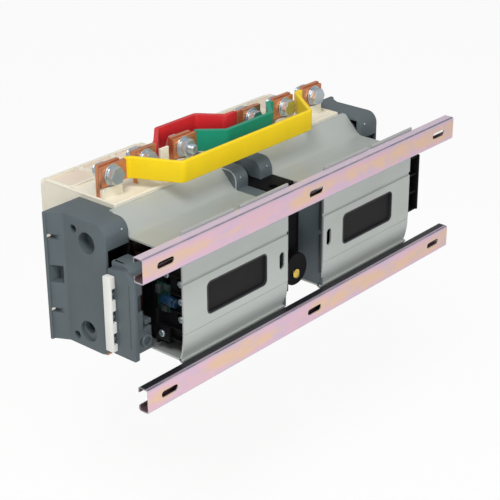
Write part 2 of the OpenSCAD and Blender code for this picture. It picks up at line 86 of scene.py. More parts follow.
BAR_BACK = 158.0
BAR = 5.0
BOLT_Z = 118.0
HEXAGON = 11.0
WASHER = 13.0
SPRING_WASHER = 10.4
WASHER_HOLE = 6.2
WASHER_GAUGE = 1.5
WASHERS = 2.5
LINK_LOW = 105.0
LINK_WIDTH = 26.0
LINK_FLAT = 155.5
LINK_BEHIND = 165.5
SLEEVE_INSET = 40.0
PATHS = {
    "yellow": ((-202.5, LINK_FLAT), (-156, LINK_FLAT), (-128, 96),
               (107, 96), (151, LINK_FLAT), (202.5, LINK_FLAT)),
    "green": ((-82.5, LINK_FLAT), (-40, LINK_FLAT), (-15, 128),
              (68, 128), (94, LINK_FLAT), (142.5, LINK_FLAT)),
    "red": ((-142.5, LINK_BEHIND), (-101, LINK_BEHIND), (-67, 197),
            (2, 197), (24, LINK_BEHIND), (82.5, LINK_BEHIND)),
}

BESIDE_FRAME = 91.3
BESIDE_BOX = 82.3
OUTER_REACH = 128.0
INNER_REACH = 114.0
HOUSING_BACK = 97.0
HOUSING_FRONT = 186.0
HOUSING_LOW = -74.0
HOUSING_HIGH = 89.0
NOSE_PIN = (101.0, 79.0)
LOWER_HOLE = (132.0, -51.0)
# Holes in a housing's face, each as y, z and radius.
FACE_HOLES = ((128, 62, 13), (*LOWER_HOLE, 13), (149, 74, 5), (152, -62, 5))
FLANGE_HOLES_Z = (58, -36)

CLAMPS_Z = (-42, -14, 14)
DRUM = (-8.5, -27.0)


# Sizes and colours that a user may change

class ContactorSizes(bpy.types.PropertyGroup):
    rail_bend: bpy.props.FloatProperty(
        name="Rail bend", description="Outer radius of the rails' bends, in millimetres",
        default=2.6, min=0.5, max=4)
    frame_bend: bpy.props.FloatProperty(
        name="Frame bend", description="Outer radius of the frame's shoulder, in millimetres",
        default=11, min=4, max=14)
    housing_round: bpy.props.FloatProperty(
        name="Housing rounding", description="Rounding of the side housings' edges, in millimetres",
        default=2.2, min=0.5, max=4)
    link_bend: bpy.props.FloatProperty(
        name="Link bend", description="Radius of the links' bends, in millimetres",
        default=7, min=3, max=12)
    thread_pitch: bpy.props.FloatProperty(
        name="Thread pitch", description="Pitch of the terminal bolts' thread, in millimetres",
        default=1.75, min=1, max=2.5)


def colour_property(words, value):
    """A colour that a user may change."""
    return bpy.props.FloatVectorProperty(
        name=words, description=words + "'s colour", subtype="COLOR", size=3, min=0, max=1, default=value)


class ContactorColours(bpy.types.PropertyGroup):
    zinc_pink: colour_property("Rail zinc, pink part", (0.80, 0.53, 0.62))
    zinc_gold: colour_property("Rail zinc, golden part", (0.83, 0.57, 0.42))
    zinc_lilac: colour_property("Rail zinc, lilac part", (0.64, 0.52, 0.72))
    frame_paint: colour_property("Frame paint", (0.47, 0.50, 0.48))
    cream: colour_property("Arc box plastic", (0.87, 0.82, 0.68))
    dark_grey: colour_property("Housing plastic", (0.100, 0.126, 0.138))
    black: colour_property("Black plastic", (0.030, 0.033, 0.036))
    copper: colour_property("Bare copper", (0.76, 0.32, 0.16))
    zinc_blue: colour_property("Bolt zinc", (0.60, 0.68, 0.74))
    yellow: colour_property("Yellow sleeve", (0.93, 0.66, 0.0))
    green: colour_property("Green sleeve", (0.0, 0.28, 0.17))
    red: colour_property("Red sleeve", (0.66, 0.016, 0.022))


def sizes():
    return bpy.context.scene.contactor_sizes


def colours():
    return bpy.context.scene.contactor_colours


# Outlines and solids, in millimetres until a piece is finished

# The radius that a turned profile keeps at its axis.
AXIS = 0.01
# Where the two directions of an outline and the one along it point, for each axis.
PLACE = {
    "X": lambda u, v, w: (w, u, v),
    "Y": lambda u, v, w: (u, w, v),
    "Z": lambda u, v, w: (u, v, w),
}


def rounded(points, radii, steps=6):
    """A polygon with its corners rounded, each by its own radius."""
    if not isinstance(radii, (list, tuple)):
        radii = [radii] * len(points)
    out = []
    for i, (point, radius) in enumerate(zip(points, radii)):
        p = Vector(point)
        a = Vector(points[i - 1]) - p
        b = Vector(points[(i + 1) % len(points)]) - p
        if radius <= 0:
            out.append(tuple(p))
            continue
        half = a.angle(b) / 2
        reach = min(radius / math.tan(half), a.length * 0.48, b.length * 0.48)
        radius = reach * math.tan(half)
        a.normalize()
        b.normalize()
        centre = p + (a + b).normalized() * (radius / math.sin(half))
        start = p + a * reach - centre
        stop = p + b * reach - centre
        sweep = start.angle_signed(stop)
        for k in range(steps + 1):
            turn = Matrix.Rotation(-sweep * k / steps, 2)
            out.append(tuple(centre + turn @ start))
    return out


def rectangle(low_u, high_u, low_v, high_v, radius=0.0, steps=6):
    """A rectangle's outline, its corners rounded."""
    return rounded([(low_u, low_v), (high_u, low_v), (high_u, high_v), (low_u, high_v)], radius, steps)


def circle(u, v, radius, count=32):
    """A circle's outline, with its first point along u."""
    turns = [2 * math.pi * k / count for k in range(count)]
    return [(u + radius * math.cos(turn), v + radius * math.sin(turn)) for turn in turns]


def prism(bm, points, axis, low, high):
    """Adds a straight solid with that outline between two places on an axis."""
    put = PLACE[axis]
    ends = [[bm.verts.new(put(u, v, w)) for u, v in points] for w in (low, high)]
    bm.faces.new(ends[0])
    bm.faces.new(ends[1][::-1])
    for i in range(len(points)):
        j = (i + 1) % len(points)
        bm.faces.new((ends[0][i], ends[0][j], ends[1][j], ends[1][i]))


def solid(points, axis, low, high, soft=0.0, segments=2):
    """A new straight solid, its sharp edges rounded by soft."""
    bm = bmesh.new()
    prism(bm, points, axis, low, high)
    bmesh.ops.recalc_face_normals(bm, faces=bm.faces)
    if soft > 0:
        soften(bm, soft, segments)
    return bm


def soften(bm, width, segments=2, angle=38):
    """Rounds the edges that turn by more than angle, in degrees."""
    edges = [e for e in bm.edges if e.is_manifold and e.calc_face_angle(0) > math.radians(angle)]
    bmesh.ops.bevel(bm, geom=edges, offset=width, segments=segments, profile=0.5, affect="EDGES",
                    clamp_overlap=True)


def box(low, high, soft=0.4, segments=2):
    """A block between two corners, its edges rounded by soft."""
    return solid(rectangle(low[0], high[0], low[1], high[1]), "Z", low[2], high[2], soft, segments)


def lathe(bm, profile, centre, count=32):
    """Turns a profile of (radius, y) about an axis along Y through centre (x, z). Its ends are closed."""
    rings = [[bm.verts.new((x, y, z)) for x, z in circle(*centre, radius, count)] for radius, y in profile]
    for a, b in zip(rings, rings[1:]):
        for k in range(count):
            j = (k + 1) % count
            bm.faces.new((a[k], a[j], b[j], b[k]))
    bm.faces.new(rings[0][::-1])
    bm.faces.new(rings[-1])


def join(*shapes):
    """One mesh of several, which are used up."""
    out = bmesh.new()
    for shape in shapes:
        mesh = bpy.data.meshes.new("joined")
        shape.to_mesh(mesh)
        shape.free()
        out.from_mesh(mesh)
        bpy.data.meshes.remove(mesh)
    return out


def moved(bm, x=0.0, y=0.0, z=0.0, mirror_x=False, mirror_z=False):
    """The shape, mirrored about zero and then moved, with its faces outward."""
    scale = Matrix.Diagonal((-1 if mirror_x else 1, 1, -1 if mirror_z else 1, 1))
    bm.transform(Matrix.Translation((x, y, z)) @ scale)
    bmesh.ops.recalc_face_normals(bm, faces=bm.faces)
    return bm


def in_unit(bm, side, outward=True):
    """A shape drawn about a unit's middle, with +X outward or inward, set in its place on that side."""
    sign = SIDES[side]
    return moved(bm, x=sign * UNIT_X, mirror_x=(sign < 0) == outward)


def at_both_levels(shape, x):
    """A function's shapes for a unit's upper and lower end, as one mesh."""
    return join(shape(x, 1), shape(x, -1))


def loose(bm, name):
    """An unfinished shape as an object in the scene, for a modifier to read."""
    bmesh.ops.recalc_face_normals(bm, faces=bm.faces)
    mesh = bpy.data.meshes.new(name)
    bm.to_mesh(mesh)
    bm.free()
    obj = bpy.data.objects.new(name, mesh)
    bpy.context.scene.collection.objects.link(obj)
    return obj


def dropped(obj):
    """Deletes an object and its mesh."""
    mesh = obj.data
    bpy.data.objects.remove(obj)
    bpy.data.meshes.remove(mesh)


def carve(bm, tool, operation="DIFFERENCE"):
    """The shape with the tool taken out of it, or what the two share. Both are used up."""
    whole = loose(bm, "whole")
    knife = loose(tool, "knife")
    step = whole.modifiers.new("carve", "BOOLEAN")
    step.operation = operation
    step.solver = "EXACT"
    step.use_self = True
    step.object = knife
    graph = bpy.context.evaluated_depsgraph_get()
    mesh = bpy.data.meshes.new_from_object(whole.evaluated_get(graph))
    out = bmesh.new()
    out.from_mesh(mesh)
    bpy.data.meshes.remove(mesh)
    dropped(whole)
    dropped(knife)
    if not out.faces:
        raise RuntimeError("a carved shape came out empty")
    return out


def piece(name, bm, finish, body="base", replaces=()):
    """A finished piece: in metres, smooth between its sharp edges, riding on its body."""
    sharp = math.radians(34)
    bmesh.ops.remove_doubles(bm, verts=bm.verts, dist=0.002)
    bmesh.ops.dissolve_degenerate(bm, edges=bm.edges, dist=0.001)
    bmesh.ops.recalc_face_normals(bm, faces=bm.faces)
    bmesh.ops.triangulate(bm, faces=[f for f in bm.faces if len(f.verts) > 4])
    mesh = bpy.data.meshes.new(name)
    bm.to_mesh(mesh)
    bm.free()
    mesh.transform(Matrix.Scale(0.001, 4))
    mesh.shade_smooth()
    mesh.set_sharp_from_angle(angle=sharp)
    obj = bpy.data.objects.new(name, mesh)
    bpy.context.scene.collection.objects.link(obj)
    mesh.materials.append(FINISHES[finish])
    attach(obj, body)
    if replaces:
        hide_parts(*replaces)
    return obj


# Repeated shapes, by geometry nodes

def repeat_tree():
    """Sets one shape on each point, turned about Z by the point's turn, and gives it a material."""
    name = "Repeated shape"
    if name in bpy.data.node_groups:
        return bpy.data.node_groups[name]
    tree = bpy.data.node_groups.new(name, "GeometryNodeTree")
    sockets = tree.interface
    sockets.new_socket("Points", in_out="INPUT", socket_type="NodeSocketGeometry")
    sockets.new_socket("Shape", in_out="INPUT", socket_type="NodeSocketObject")
    sockets.new_socket("Size", in_out="INPUT", socket_type="NodeSocketFloat").default_value = 1.0
    sockets.new_socket("Finish", in_out="INPUT", socket_type="NodeSocketMaterial")
    sockets.new_socket("Copies", in_out="OUTPUT", socket_type="NodeSocketGeometry")
    given = tree.nodes.new("NodeGroupInput")
    shape = tree.nodes.new("GeometryNodeObjectInfo")
    turn = tree.nodes.new("GeometryNodeInputNamedAttribute")
    turn.data_type = "FLOAT"
    turn.inputs["Name"].default_value = "turn"
    angles = tree.nodes.new("ShaderNodeCombineXYZ")
    copies = tree.nodes.new("GeometryNodeInstanceOnPoints")
    real = tree.nodes.new("GeometryNodeRealizeInstances")
    finish = tree.nodes.new("GeometryNodeSetMaterial")
    result = tree.nodes.new("NodeGroupOutput")
    link = tree.links.new
    link(given.outputs["Points"], copies.inputs["Points"])
    link(given.outputs["Shape"], shape.inputs["Object"])
    link(shape.outputs["Geometry"], copies.inputs["Instance"])
    link(turn.outputs["Attribute"], angles.inputs["Z"])
    link(angles.outputs["Vector"], copies.inputs["Rotation"])
    link(given.outputs["Size"], copies.inputs["Scale"])
    link(copies.outputs["Instances"], real.inputs["Geometry"])
    link(real.outputs["Geometry"], finish.inputs["Geometry"])
    link(given.outputs["Finish"], finish.inputs["Material"])
    link(finish.outputs["Geometry"], result.inputs["Copies"])
    return tree


def repeated(shape, places, finish, size=1.0):
    """The shape's copies at places of (x, y, z, turn in degrees), as one new mesh. The shape is used up."""
    pattern = loose(shape, "pattern")
    points = bpy.data.meshes.new("places")
    points.from_pydata([place[:3] for place in places], [], [])
    turns = points.attributes.new("turn", "FLOAT", "POINT")
    for item, place in zip(turns.data, places):
        item.value = math.radians(place[3])
    holder = bpy.data.objects.new("places", points)
    bpy.context.scene.collection.objects.link(holder)
    tree = repeat_tree()
    step = holder.modifiers.new("repeat", "NODES")
    step.node_group = tree
    ids = {item.name: item.identifier for item in tree.interface.items_tree if item.in_out == "INPUT"}
    step[ids["Shape"]] = pattern
    step[ids["Size"]] = size
    step[ids["Finish"]] = FINISHES[finish]
    graph = bpy.context.evaluated_depsgraph_get()
    mesh = bpy.data.meshes.new_from_object(holder.evaluated_get(graph))
    out = bmesh.new()
    out.from_mesh(mesh)
    bpy.data.meshes.remove(mesh)
    holder.modifiers.remove(step)
    dropped(holder)
    dropped(pattern)
    if not out.faces:
        raise RuntimeError("a repeated shape came out empty")
    return out


# Finishes

FINISHES = {}


class Finish:
    """A material's nodes, with the few joins that every finish here needs."""

    def __init__(self, name):
        self.material = bpy.data.materials.new(name)
        self.material.use_nodes = True
        self.tree = self.material.node_tree
        self.shader = next(n for n in self.tree.nodes if n.type == "BSDF_PRINCIPLED")
        self.place = self.node("ShaderNodeTexCoord").outputs["Object"]

    def node(self, kind, **values):
        made = self.tree.nodes.new(kind)
        for key, value in values.items():
            setattr(made, key, value)
        return made

    def feed(self, node, inputs):
        """Sets a node's inputs, and links those that come from another node."""
        for key, value in inputs.items():
            if isinstance(value, bpy.types.NodeSocket):
                self.tree.links.new(value, node.inputs[key])
            else:
                node.inputs[key].default_value = value
        return node

    def noise(self, scale, detail=3.0, roughness=0.5, stretch=(1, 1, 1), distortion=0.0):
        mapping = self.feed(self.node("ShaderNodeMapping"), {"Scale": stretch, "Vector": self.place})
        made = self.feed(self.node("ShaderNodeTexNoise"), {
            "Scale": scale, "Detail": detail, "Roughness": roughness, "Distortion": distortion,
            "Vector": mapping.outputs["Vector"]})
        return made.outputs["Fac"]

    def spread(self, value, low, high, from_low=0.0, from_high=1.0):
        made = self.feed(self.node("ShaderNodeMapRange"), {
            "From Min": from_low, "From Max": from_high, "To Min": low, "To Max": high, "Value": value})
        return made.outputs["Result"]

    def sums(self, operation, first, second=0.0):
        made = self.feed(self.node("ShaderNodeMath", operation=operation), {0: first, 1: second})
        return made.outputs["Value"]

    def mix(self, factor, first, second):
        """Blends two colours. The node's inputs 6 and 7 and its output 2 are the ones for colours."""
        ends = [end if isinstance(end, bpy.types.NodeSocket) else (*end, 1) for end in (first, second)]
        made = self.node("ShaderNodeMix", data_type="RGBA")
        return self.feed(made, {0: factor, 6: ends[0], 7: ends[1]}).outputs[2]

    def edges(self, radius):
        """How near a point is to an edge, from the difference that rounding makes, and the rounded normal."""
        bevel = self.feed(self.node("ShaderNodeBevel", samples=4), {"Radius": radius})
        geometry = self.node("ShaderNodeNewGeometry")
        dot = self.feed(self.node("ShaderNodeVectorMath", operation="DOT_PRODUCT"),
                        {0: bevel.outputs["Normal"], 1: geometry.outputs["Normal"]})
        return self.spread(dot.outputs["Value"], 1.0, 0.0, 0.72, 0.99), bevel.outputs["Normal"]

    def bump(self, height, strength, distance, normal=None):
        made = self.feed(self.node("ShaderNodeBump"),
                         {"Strength": strength, "Distance": distance, "Height": height})
        if normal is not None:
            self.feed(made, {"Normal": normal})
        return made.outputs["Normal"]

    def done(self, colour, roughness, normal, **others):
        """The finished material. Others are the shader's further inputs, with _ for each space."""
        self.feed(self.shader, {"Base Color": colour, "Roughness": roughness, "Normal": normal})
        self.feed(self.shader, {name.replace("_", " "): value for name, value in others.items()})
        return self.material


def shade(colour, factor):
    """The colour, darker or lighter by a factor."""
    return tuple(min(1.0, part * factor) for part in colour)


def moulded(name, colour, rough=0.5, grain=0.05, wear=0.25, radius=0.0007, gloss=0.4):
    """Moulded plastic: faint mottling, a fine spark-eroded grain, dust in broad patches and rubbed edges."""
    f = Finish(name)
    broad = f.noise(9, 4, 0.6)
    fine = f.noise(1400, 2, 0.5)
    edge, normal = f.edges(radius)
    tone = f.mix(f.spread(broad, 0.0, 1.0, 0.35, 0.65), shade(colour, 0.93), shade(colour, 1.05))
    tone = f.mix(f.spread(edge, 0.0, wear), tone, shade(colour, 1.45))
    rough_map = f.spread(f.noise(60, 3), rough - 0.07, rough + 0.07)
    return f.done(tone, rough_map, f.bump(fine, grain, 0.0004, normal), Specular_IOR_Level=gloss)


def painted(name, colour):
    """Smooth sheet paint over fine rolling marks, with slightly brighter bends."""
    f = Finish(name)
    broad = f.noise(5, 3, 0.5, (1, 2.5, 2.5))
    grain = f.noise(260, 3, 0.6, (0.05, 1, 1))
    edge, normal = f.edges(0.0009)
    tone = f.mix(f.spread(broad, 0.0, 1.0, 0.35, 0.65), shade(colour, 0.93), shade(colour, 1.05))
    tone = f.mix(f.spread(edge, 0.0, 0.35), tone, shade(colour, 1.35))
    return f.done(tone, f.spread(grain, 0.34, 0.46), f.bump(grain, 0.04, 0.0003, normal),
                  Metallic=0.25, Coat_Weight=0.12)


def plated(name, colour, rough=0.28, radius=0.0005, tint=(0.9, 0.85, 0.6)):
    """Bluish zinc plate on turned or formed steel, with faint yellow blooms."""
    f = Finish(name)
    bloom = f.noise(90, 3, 0.6)
    fine = f.noise(900, 2, 0.5)
    edge, normal = f.edges(radius)
    tone = f.mix(f.spread(bloom, 0.0, 0.45, 0.5, 0.75), colour, tint)
    tone = f.mix(f.spread(edge, 0.0, 0.5), tone, shade(colour, 1.4))
    return f.done(tone, f.spread(bloom, rough - 0.08, rough + 0.14), f.bump(fine, 0.05, 0.0003, normal),
                  Metallic=0.9)


def rail_zinc():
    """Passivated zinc: gold along each web's middle, pink and lilac beside it, pale edges. Painted light on
    the upper rail's flanges, painted shade on the lower rail's flanges and inside the channel, and a painted
    dark reflection on the bends.
    """
    f = Finish("rail_zinc")
    c = colours()
    parts = f.feed(f.node("ShaderNodeSeparateXYZ"), {"Vector": f.place})
    depth, height = parts.outputs["Y"], parts.outputs["Z"]
    away = f.sums("ABSOLUTE", f.sums("SUBTRACT", f.sums("ABSOLUTE", height), RAIL_Z / 1000))
    drift = f.noise(9, 2, 0.55, (1, 2.0, 2.0), 0.6)
    cloud = f.noise(24, 3, 0.6, (1, 1.6, 1.6), 0.4)
    fine = f.noise(800, 2, 0.5, (0.12, 1, 1))
    middle = f.sums("ADD", away, f.spread(drift, -0.009, 0.009, 0.3, 0.7))
    tone = f.mix(f.spread(middle, 0.0, 1.0, 0.002, 0.009), c.zinc_gold, c.zinc_pink)
    tone = f.mix(f.spread(cloud, 0.0, 0.6, 0.46, 0.70), tone, c.zinc_lilac)
    tone = f.mix(f.spread(away, 0.0, 0.5, 0.0108, 0.0140), tone, (0.62, 0.60, 0.72))
    flange = f.spread(away, 0.0, 1.0, 0.0138, 0.0146)
    bend = f.sums("MULTIPLY", flange, f.spread(depth, 1.0, 0.0, 0.0010, 0.0030))
    past = f.sums("MULTIPLY", flange, f.spread(depth, 0.0, 1.0, 0.0030, 0.0050))
    lower = f.spread(height, 1.0, 0.0, -0.02, 0.02)
    upper = f.spread(height, 0.0, 1.0, -0.02, 0.02)
    # Painted light and shade on the flanges past the bends: pale on the upper rail, nearly black on the lower
    # rail.
    tone = f.mix(f.sums("MULTIPLY", past, upper), tone, (0.80, 0.66, 0.78))
    tone = f.mix(f.sums("MULTIPLY", past, lower), tone, (0.030, 0.030, 0.036))
    # Painted dark reflection on the bends between web and flanges.
    tone = f.mix(f.sums("MULTIPLY", bend, f.spread(cloud, 0.65, 1.0, 0.4, 0.6)), tone, (0.055, 0.075, 0.11))
    # Painted shade inside the channel, on the back of the web and the lips.
    inside = f.sums("MULTIPLY", f.spread(depth, 0.0, 1.0, 0.0013, 0.0017),
                    f.spread(away, 1.0, 0.0, 0.0136, 0.0144))
    tone = f.mix(inside, tone, (0.20, 0.13, 0.14))
    edge, normal = f.edges(0.0009)
    tone = f.mix(f.spread(edge, 0.0, 0.9), tone, (0.56, 0.76, 0.82))
    return f.done(tone, f.spread(fine, 0.30, 0.44), f.bump(fine, 0.04, 0.0003, normal), Metallic=0.55)


def bare_copper():
    """Copper cut from strip: drawn grain, brown tarnish in clouds, bright edges."""
    f = Finish("bare_copper")
    colour = colours().copper
    cloud = f.noise(70, 4, 0.65)
    grain = f.noise(500, 3, 0.6, (1, 1, 0.06))
    edge, normal = f.edges(0.0005)
    tone = f.mix(f.spread(cloud, 0.0, 0.55, 0.42, 0.7), colour, (0.42, 0.17, 0.09))
    tone = f.mix(f.spread(edge, 0.0, 0.5), tone, (0.95, 0.50, 0.30))
    return f.done(tone, f.spread(grain, 0.28, 0.46), f.bump(grain, 0.06, 0.0003, normal), Metallic=0.8)


def sleeve(name, colour):
    """Heat-shrunk sleeve: soft sheen, faint ripples round the bar and paler stretched edges."""
    f = Finish(name)
    ripple = f.noise(45, 3, 0.5, (1, 1, 0.6))
    edge, normal = f.edges(0.0009)
    tone = f.mix(f.spread(ripple, 0.0, 1.0, 0.3, 0.7), shade(colour, 0.965), shade(colour, 1.02))
    tone = f.mix(f.spread(edge, 0.0, 0.35), tone, tuple(part * 0.7 + 0.25 for part in colour))
    return f.done(tone, f.spread(ripple, 0.36, 0.50), f.bump(ripple, 0.03, 0.0005, normal),
                  Specular_IOR_Level=0.45)


def laminated(name):
    """Stacked core sheets, nearly black, with their edges as fine bands along X."""
    f = Finish(name)
    sheets = f.feed(f.node("ShaderNodeTexWave", wave_type="BANDS", bands_direction="X"),
                    {"Scale": 320, "Distortion": 0.3, "Vector": f.place})
    cloud = f.noise(30, 4, 0.6)
    tone = f.mix(f.spread(cloud, 0.0, 1.0, 0.35, 0.7), (0.006, 0.006, 0.007), (0.013, 0.012, 0.012))
    _, normal = f.edges(0.0004)
    return f.done(tone, f.spread(cloud, 0.48, 0.66), f.bump(sheets.outputs["Fac"], 0.22, 0.0003, normal),
                  Metallic=0.2, Specular_IOR_Level=0.25)


def wound_wire():
    """Enamelled copper wire in layers round the coil."""
    f = Finish("wound_wire")
    turns = f.feed(f.node("ShaderNodeTexWave", wave_type="BANDS", bands_direction="Y", wave_profile="SIN"),
                   {"Scale": 500, "Vector": f.place}).outputs["Fac"]
    tone = f.mix(f.spread(f.noise(40, 3), 0.0, 1.0), (0.50, 0.20, 0.08), (0.36, 0.12, 0.05))
    return f.done(tone, f.spread(turns, 0.25, 0.4), f.bump(turns, 0.5, 0.0004), Metallic=0.6)


def circuit_board():
    """Green solder mask with faint tracks under it."""
    f = Finish("circuit_board")
    tracks = f.feed(f.node("ShaderNodeTexBrick"), {
        "Scale": 160, "Mortar Size": 0.06, "Vector": f.place,
        "Color1": (0.001, 0.016, 0.010, 1), "Color2": (0.002, 0.022, 0.014, 1),
        "Mortar": (0.003, 0.040, 0.024, 1)})
    _, normal = f.edges(0.0003)
    return f.done(tracks.outputs["Color"], f.spread(tracks.outputs["Fac"], 0.3, 0.45),
                  f.bump(tracks.outputs["Fac"], 0.1, 0.0002, normal))


def make_finishes():
    """Builds every finish, to be found by its name."""
    c = colours()
    FINISHES.update(
        rail=rail_zinc(),
        frame=painted("frame_paint", c.frame_paint),
        cream=moulded("cream_plastic", c.cream, 0.46, 0.05, 0.5, 0.0012),
        pocket=moulded("pocket_plastic", (0.80, 0.68, 0.56), 0.5, 0.05, 0.3, 0.0008),
        grey=moulded("grey_plastic", c.dark_grey, 0.52, 0.10, 0.22, 0.0012),
        # Light grey for the strip that paints a highlight on each inner housing's end edge.
        trim=moulded("edge_trim", (0.42, 0.44, 0.46), 0.45, 0.05, 0.3, 0.0004),
        # Black plastic made darker than its own colour: painted shade, for the black parts in the gaps and
        # frame ends and for the sheets that stand in for shade.
        deep=moulded("black_plastic_painted_shade", (0.004, 0.004, 0.005), 0.6, 0.05, 0.1, 0.0004, 0.12),
        black=moulded("black_plastic", c.black, 0.42, 0.06, 0.25, 0.0006),
        white=moulded("white_plastic", (0.84, 0.84, 0.80), 0.4, 0.04, 0.3, 0.0006),
        brown=moulded("carrier_plastic", (0.12, 0.05, 0.03), 0.45, 0.06, 0.2, 0.0006),
        red_part=moulded("indicator_plastic", (0.55, 0.03, 0.03), 0.3, 0.03, 0.3, 0.0006),
        blue=moulded("capacitor_sleeve", (0.004, 0.026, 0.062), 0.3, 0.03, 0.3, 0.0005),
        brass=plated("brass_part", (0.80, 0.58, 0.12), 0.3, 0.0005, (0.7, 0.5, 0.15)),
        zinc=plated("bolt_zinc", c.zinc_blue),
        steel=plated("bare_steel", (0.55, 0.55, 0.54), 0.35, 0.0004, (0.5, 0.47, 0.42)),
        core=laminated("core_steel"),
        wire=wound_wire(),
        board=circuit_board(),
        copper=bare_copper(),
        yellow=sleeve("yellow_sleeve", c.yellow),
        green=sleeve("green_sleeve", c.green),
        red=sleeve("red_sleeve", c.red),
    )


def dress(finish, *names):
    """Gives CAD nodes a finish."""
    for name in names:
        node = NODES[name]
        node.data.materials.clear()
        node.data.materials.append(FINISHES[finish])


def both(*names):
    """The names of both sides' nodes."""
    return [name + "_" + side for name in names for side in SIDES]


# Rails

def rail(level):
    """A rolled C rail with two end slots and a middle one, its open side towards the frames."""
    bend = sizes().rail_bend
    inner = bend - RAIL_GAUGE
    half, deep = RAIL_HALF - RAIL_GAUGE, RAIL_DEPTH - RAIL_GAUGE
    profile = rounded(
        [(0, -RAIL_HALF), (0, RAIL_HALF), (RAIL_DEPTH, RAIL_HALF), (RAIL_DEPTH, LIP_Z), (deep, LIP_Z),
         (deep, half), (RAIL_GAUGE, half), (RAIL_GAUGE, -half), (deep, -half), (deep, -LIP_Z),
         (RAIL_DEPTH, -LIP_Z), (RAIL_DEPTH, -RAIL_HALF)],
        [bend, bend, bend, 0.4, 0.4, inner, inner, inner, inner, 0.4, 0.4, bend], 5)
    middle = level * RAIL_Z
    bar = solid([(y, z + middle) for y, z in profile], "X", -RAIL_END, RAIL_END)
    slots = bmesh.new()
    for x in (-SLOT_X, 0, SLOT_X):
        slot = rectangle(x - SLOT_REACH, x + SLOT_REACH, middle - SLOT_HALF, middle + SLOT_HALF,
                         SLOT_HALF - 0.01, 8)
        prism(slots, slot, "Y", -1, 3)
    return carve(bar, slots)


class MakeRails(bpy.types.Operator):
    """Rolled C rails with their slots and rounded bends"""
    bl_idname = "contactor.rails"
    bl_label = "Rails"

    def execute(self, context):
        for name, level in (("rail_upper", 1), ("rail_lower", -1)):
            piece("zinc_" + name, rail(level), "rail", replaces=(name,))
        return {"FINISHED"}


# Frames

def window(x, grow=0.0):
    """The window's outline, larger by grow on every side."""
    return rectangle(x - WINDOW_X - grow, x + WINDOW_X + grow, -WINDOW_Z - grow, WINDOW_Z + grow,
                     WINDOW_CORNER + grow, 8)


def frame_plate(x, sign):
    """The back plate, with its window, slots, pressed groove and the dished band below the window."""
    face = [(15, 96), (15, 34.8), (16.7, 34.0), (17.0, 31.2), (15, 30.2), (15, -31), (15.7, -31.6),
            (15.1, -32.4), (15.3, -38), (15.9, -44), (16.8, -50), (18.1, -56), (19.6, -61), (21.2, -65),
            (21.2, -67), (15, -70), (15, -96)]
    back = [(y + SHEET, z) for y, z in reversed(face)]
    plate = solid(face + back, "X", x - FRAME_X, x + FRAME_X)
    tooth = x - sign * TOOTH_X
    holes = bmesh.new()
    prism(holes, window(x), *PLATE_CUT)
    prism(holes, rectangle(tooth - 4.5, tooth + 4.5, -11, 11, 4.49, 8), *PLATE_CUT)
    for z in (-FOOT_Z, FOOT_Z):
        prism(holes, rectangle(x - 5, x + 5, z - 13, z + 13, 2, 4), *PLATE_CUT)
    return carve(plate, holes)


def window_rim(x):
    """The thin black edge that lines a window."""
    ring = solid(window(x, 0.9), "Y", 14.6, 18.2, 0.3)
    hollow = bmesh.new()
    prism(hollow, window(x, -0.9), *PLATE_CUT)
    return carve(ring, hollow)


def frame_sheet(x, level):
    """The channel, its slope to the wider mouth and the mouth as one folded sheet with round bends."""
    out = sizes().frame_bend
    front, fold, mouth, lean = RAIL_DEPTH + SHEET, 99, 122, 1.2
    channel_z, mouth_z = 66, 90.5
    section = rounded(
        [(front, channel_z), (fold, channel_z), (mouth, mouth_z), (BOX_BACK, mouth_z),
         (BOX_BACK, mouth_z - SHEET), (mouth + lean, mouth_z - SHEET), (fold + lean, channel_z - SHEET),
         (front, channel_z - SHEET)],
        [0, out + SHEET, out, 0, 0, out - SHEET, out + 2 * SHEET, 0], 8)
    return solid([(y, z * level) for y, z in section], "X", x - FRAME_X, x + FRAME_X)


class MakeFrames(bpy.types.Operator):
    """Folded sheet frames with window rims and the slot beside each window"""
    bl_idname = "contactor.frames"
    bl_label = "Frames"

    def execute(self, context):
        for side, sign in SIDES.items():
            x = sign * UNIT_X
            piece("frame_plate_" + side, frame_plate(x, sign), "frame",
                  replaces=("back_frame_" + side,))
            piece("frame_sheet_" + side, at_both_levels(frame_sheet, x), "frame")
            piece("window_rim_" + side, window_rim(x), "black")
        dress("zinc", *both("rail_fixings"))
        return {"FINISHED"}


# Magnets and what moves

class MakeMagnets(bpy.types.Operator):
    """Cores, coils and the moving carriers inside the frames"""
    bl_idname = "contactor.magnets"
    bl_label = "Magnets and carriers"

    def execute(self, context):
        dress("core", *both("magnet_yoke", "armature"))
        dress("black", *both("coil_bobbin"))
        dress("wire", *both("coil_winding"))
        dress("brown", *both("contact_carrier"))
        dress("copper", *both("contact_bridges"))
        dress("steel", *both("contact_springs", "splitter_plates"))
        dress("red_part", *both("indicator"))
        return {"FINISHED"}


# Arc boxes

def add_pockets(bm, x, low, high):
    """Adds the three pockets along an arc box's far edge, between two heights."""
    for p in POLES:
        middle = x + p * POCKET_PITCH
        pocket = rectangle(middle - POCKET_HALF, middle + POCKET_HALF, POCKET_BACK, BOX_FRONT - 4, 3, 4)
        prism(bm, pocket, "Z", low, high)


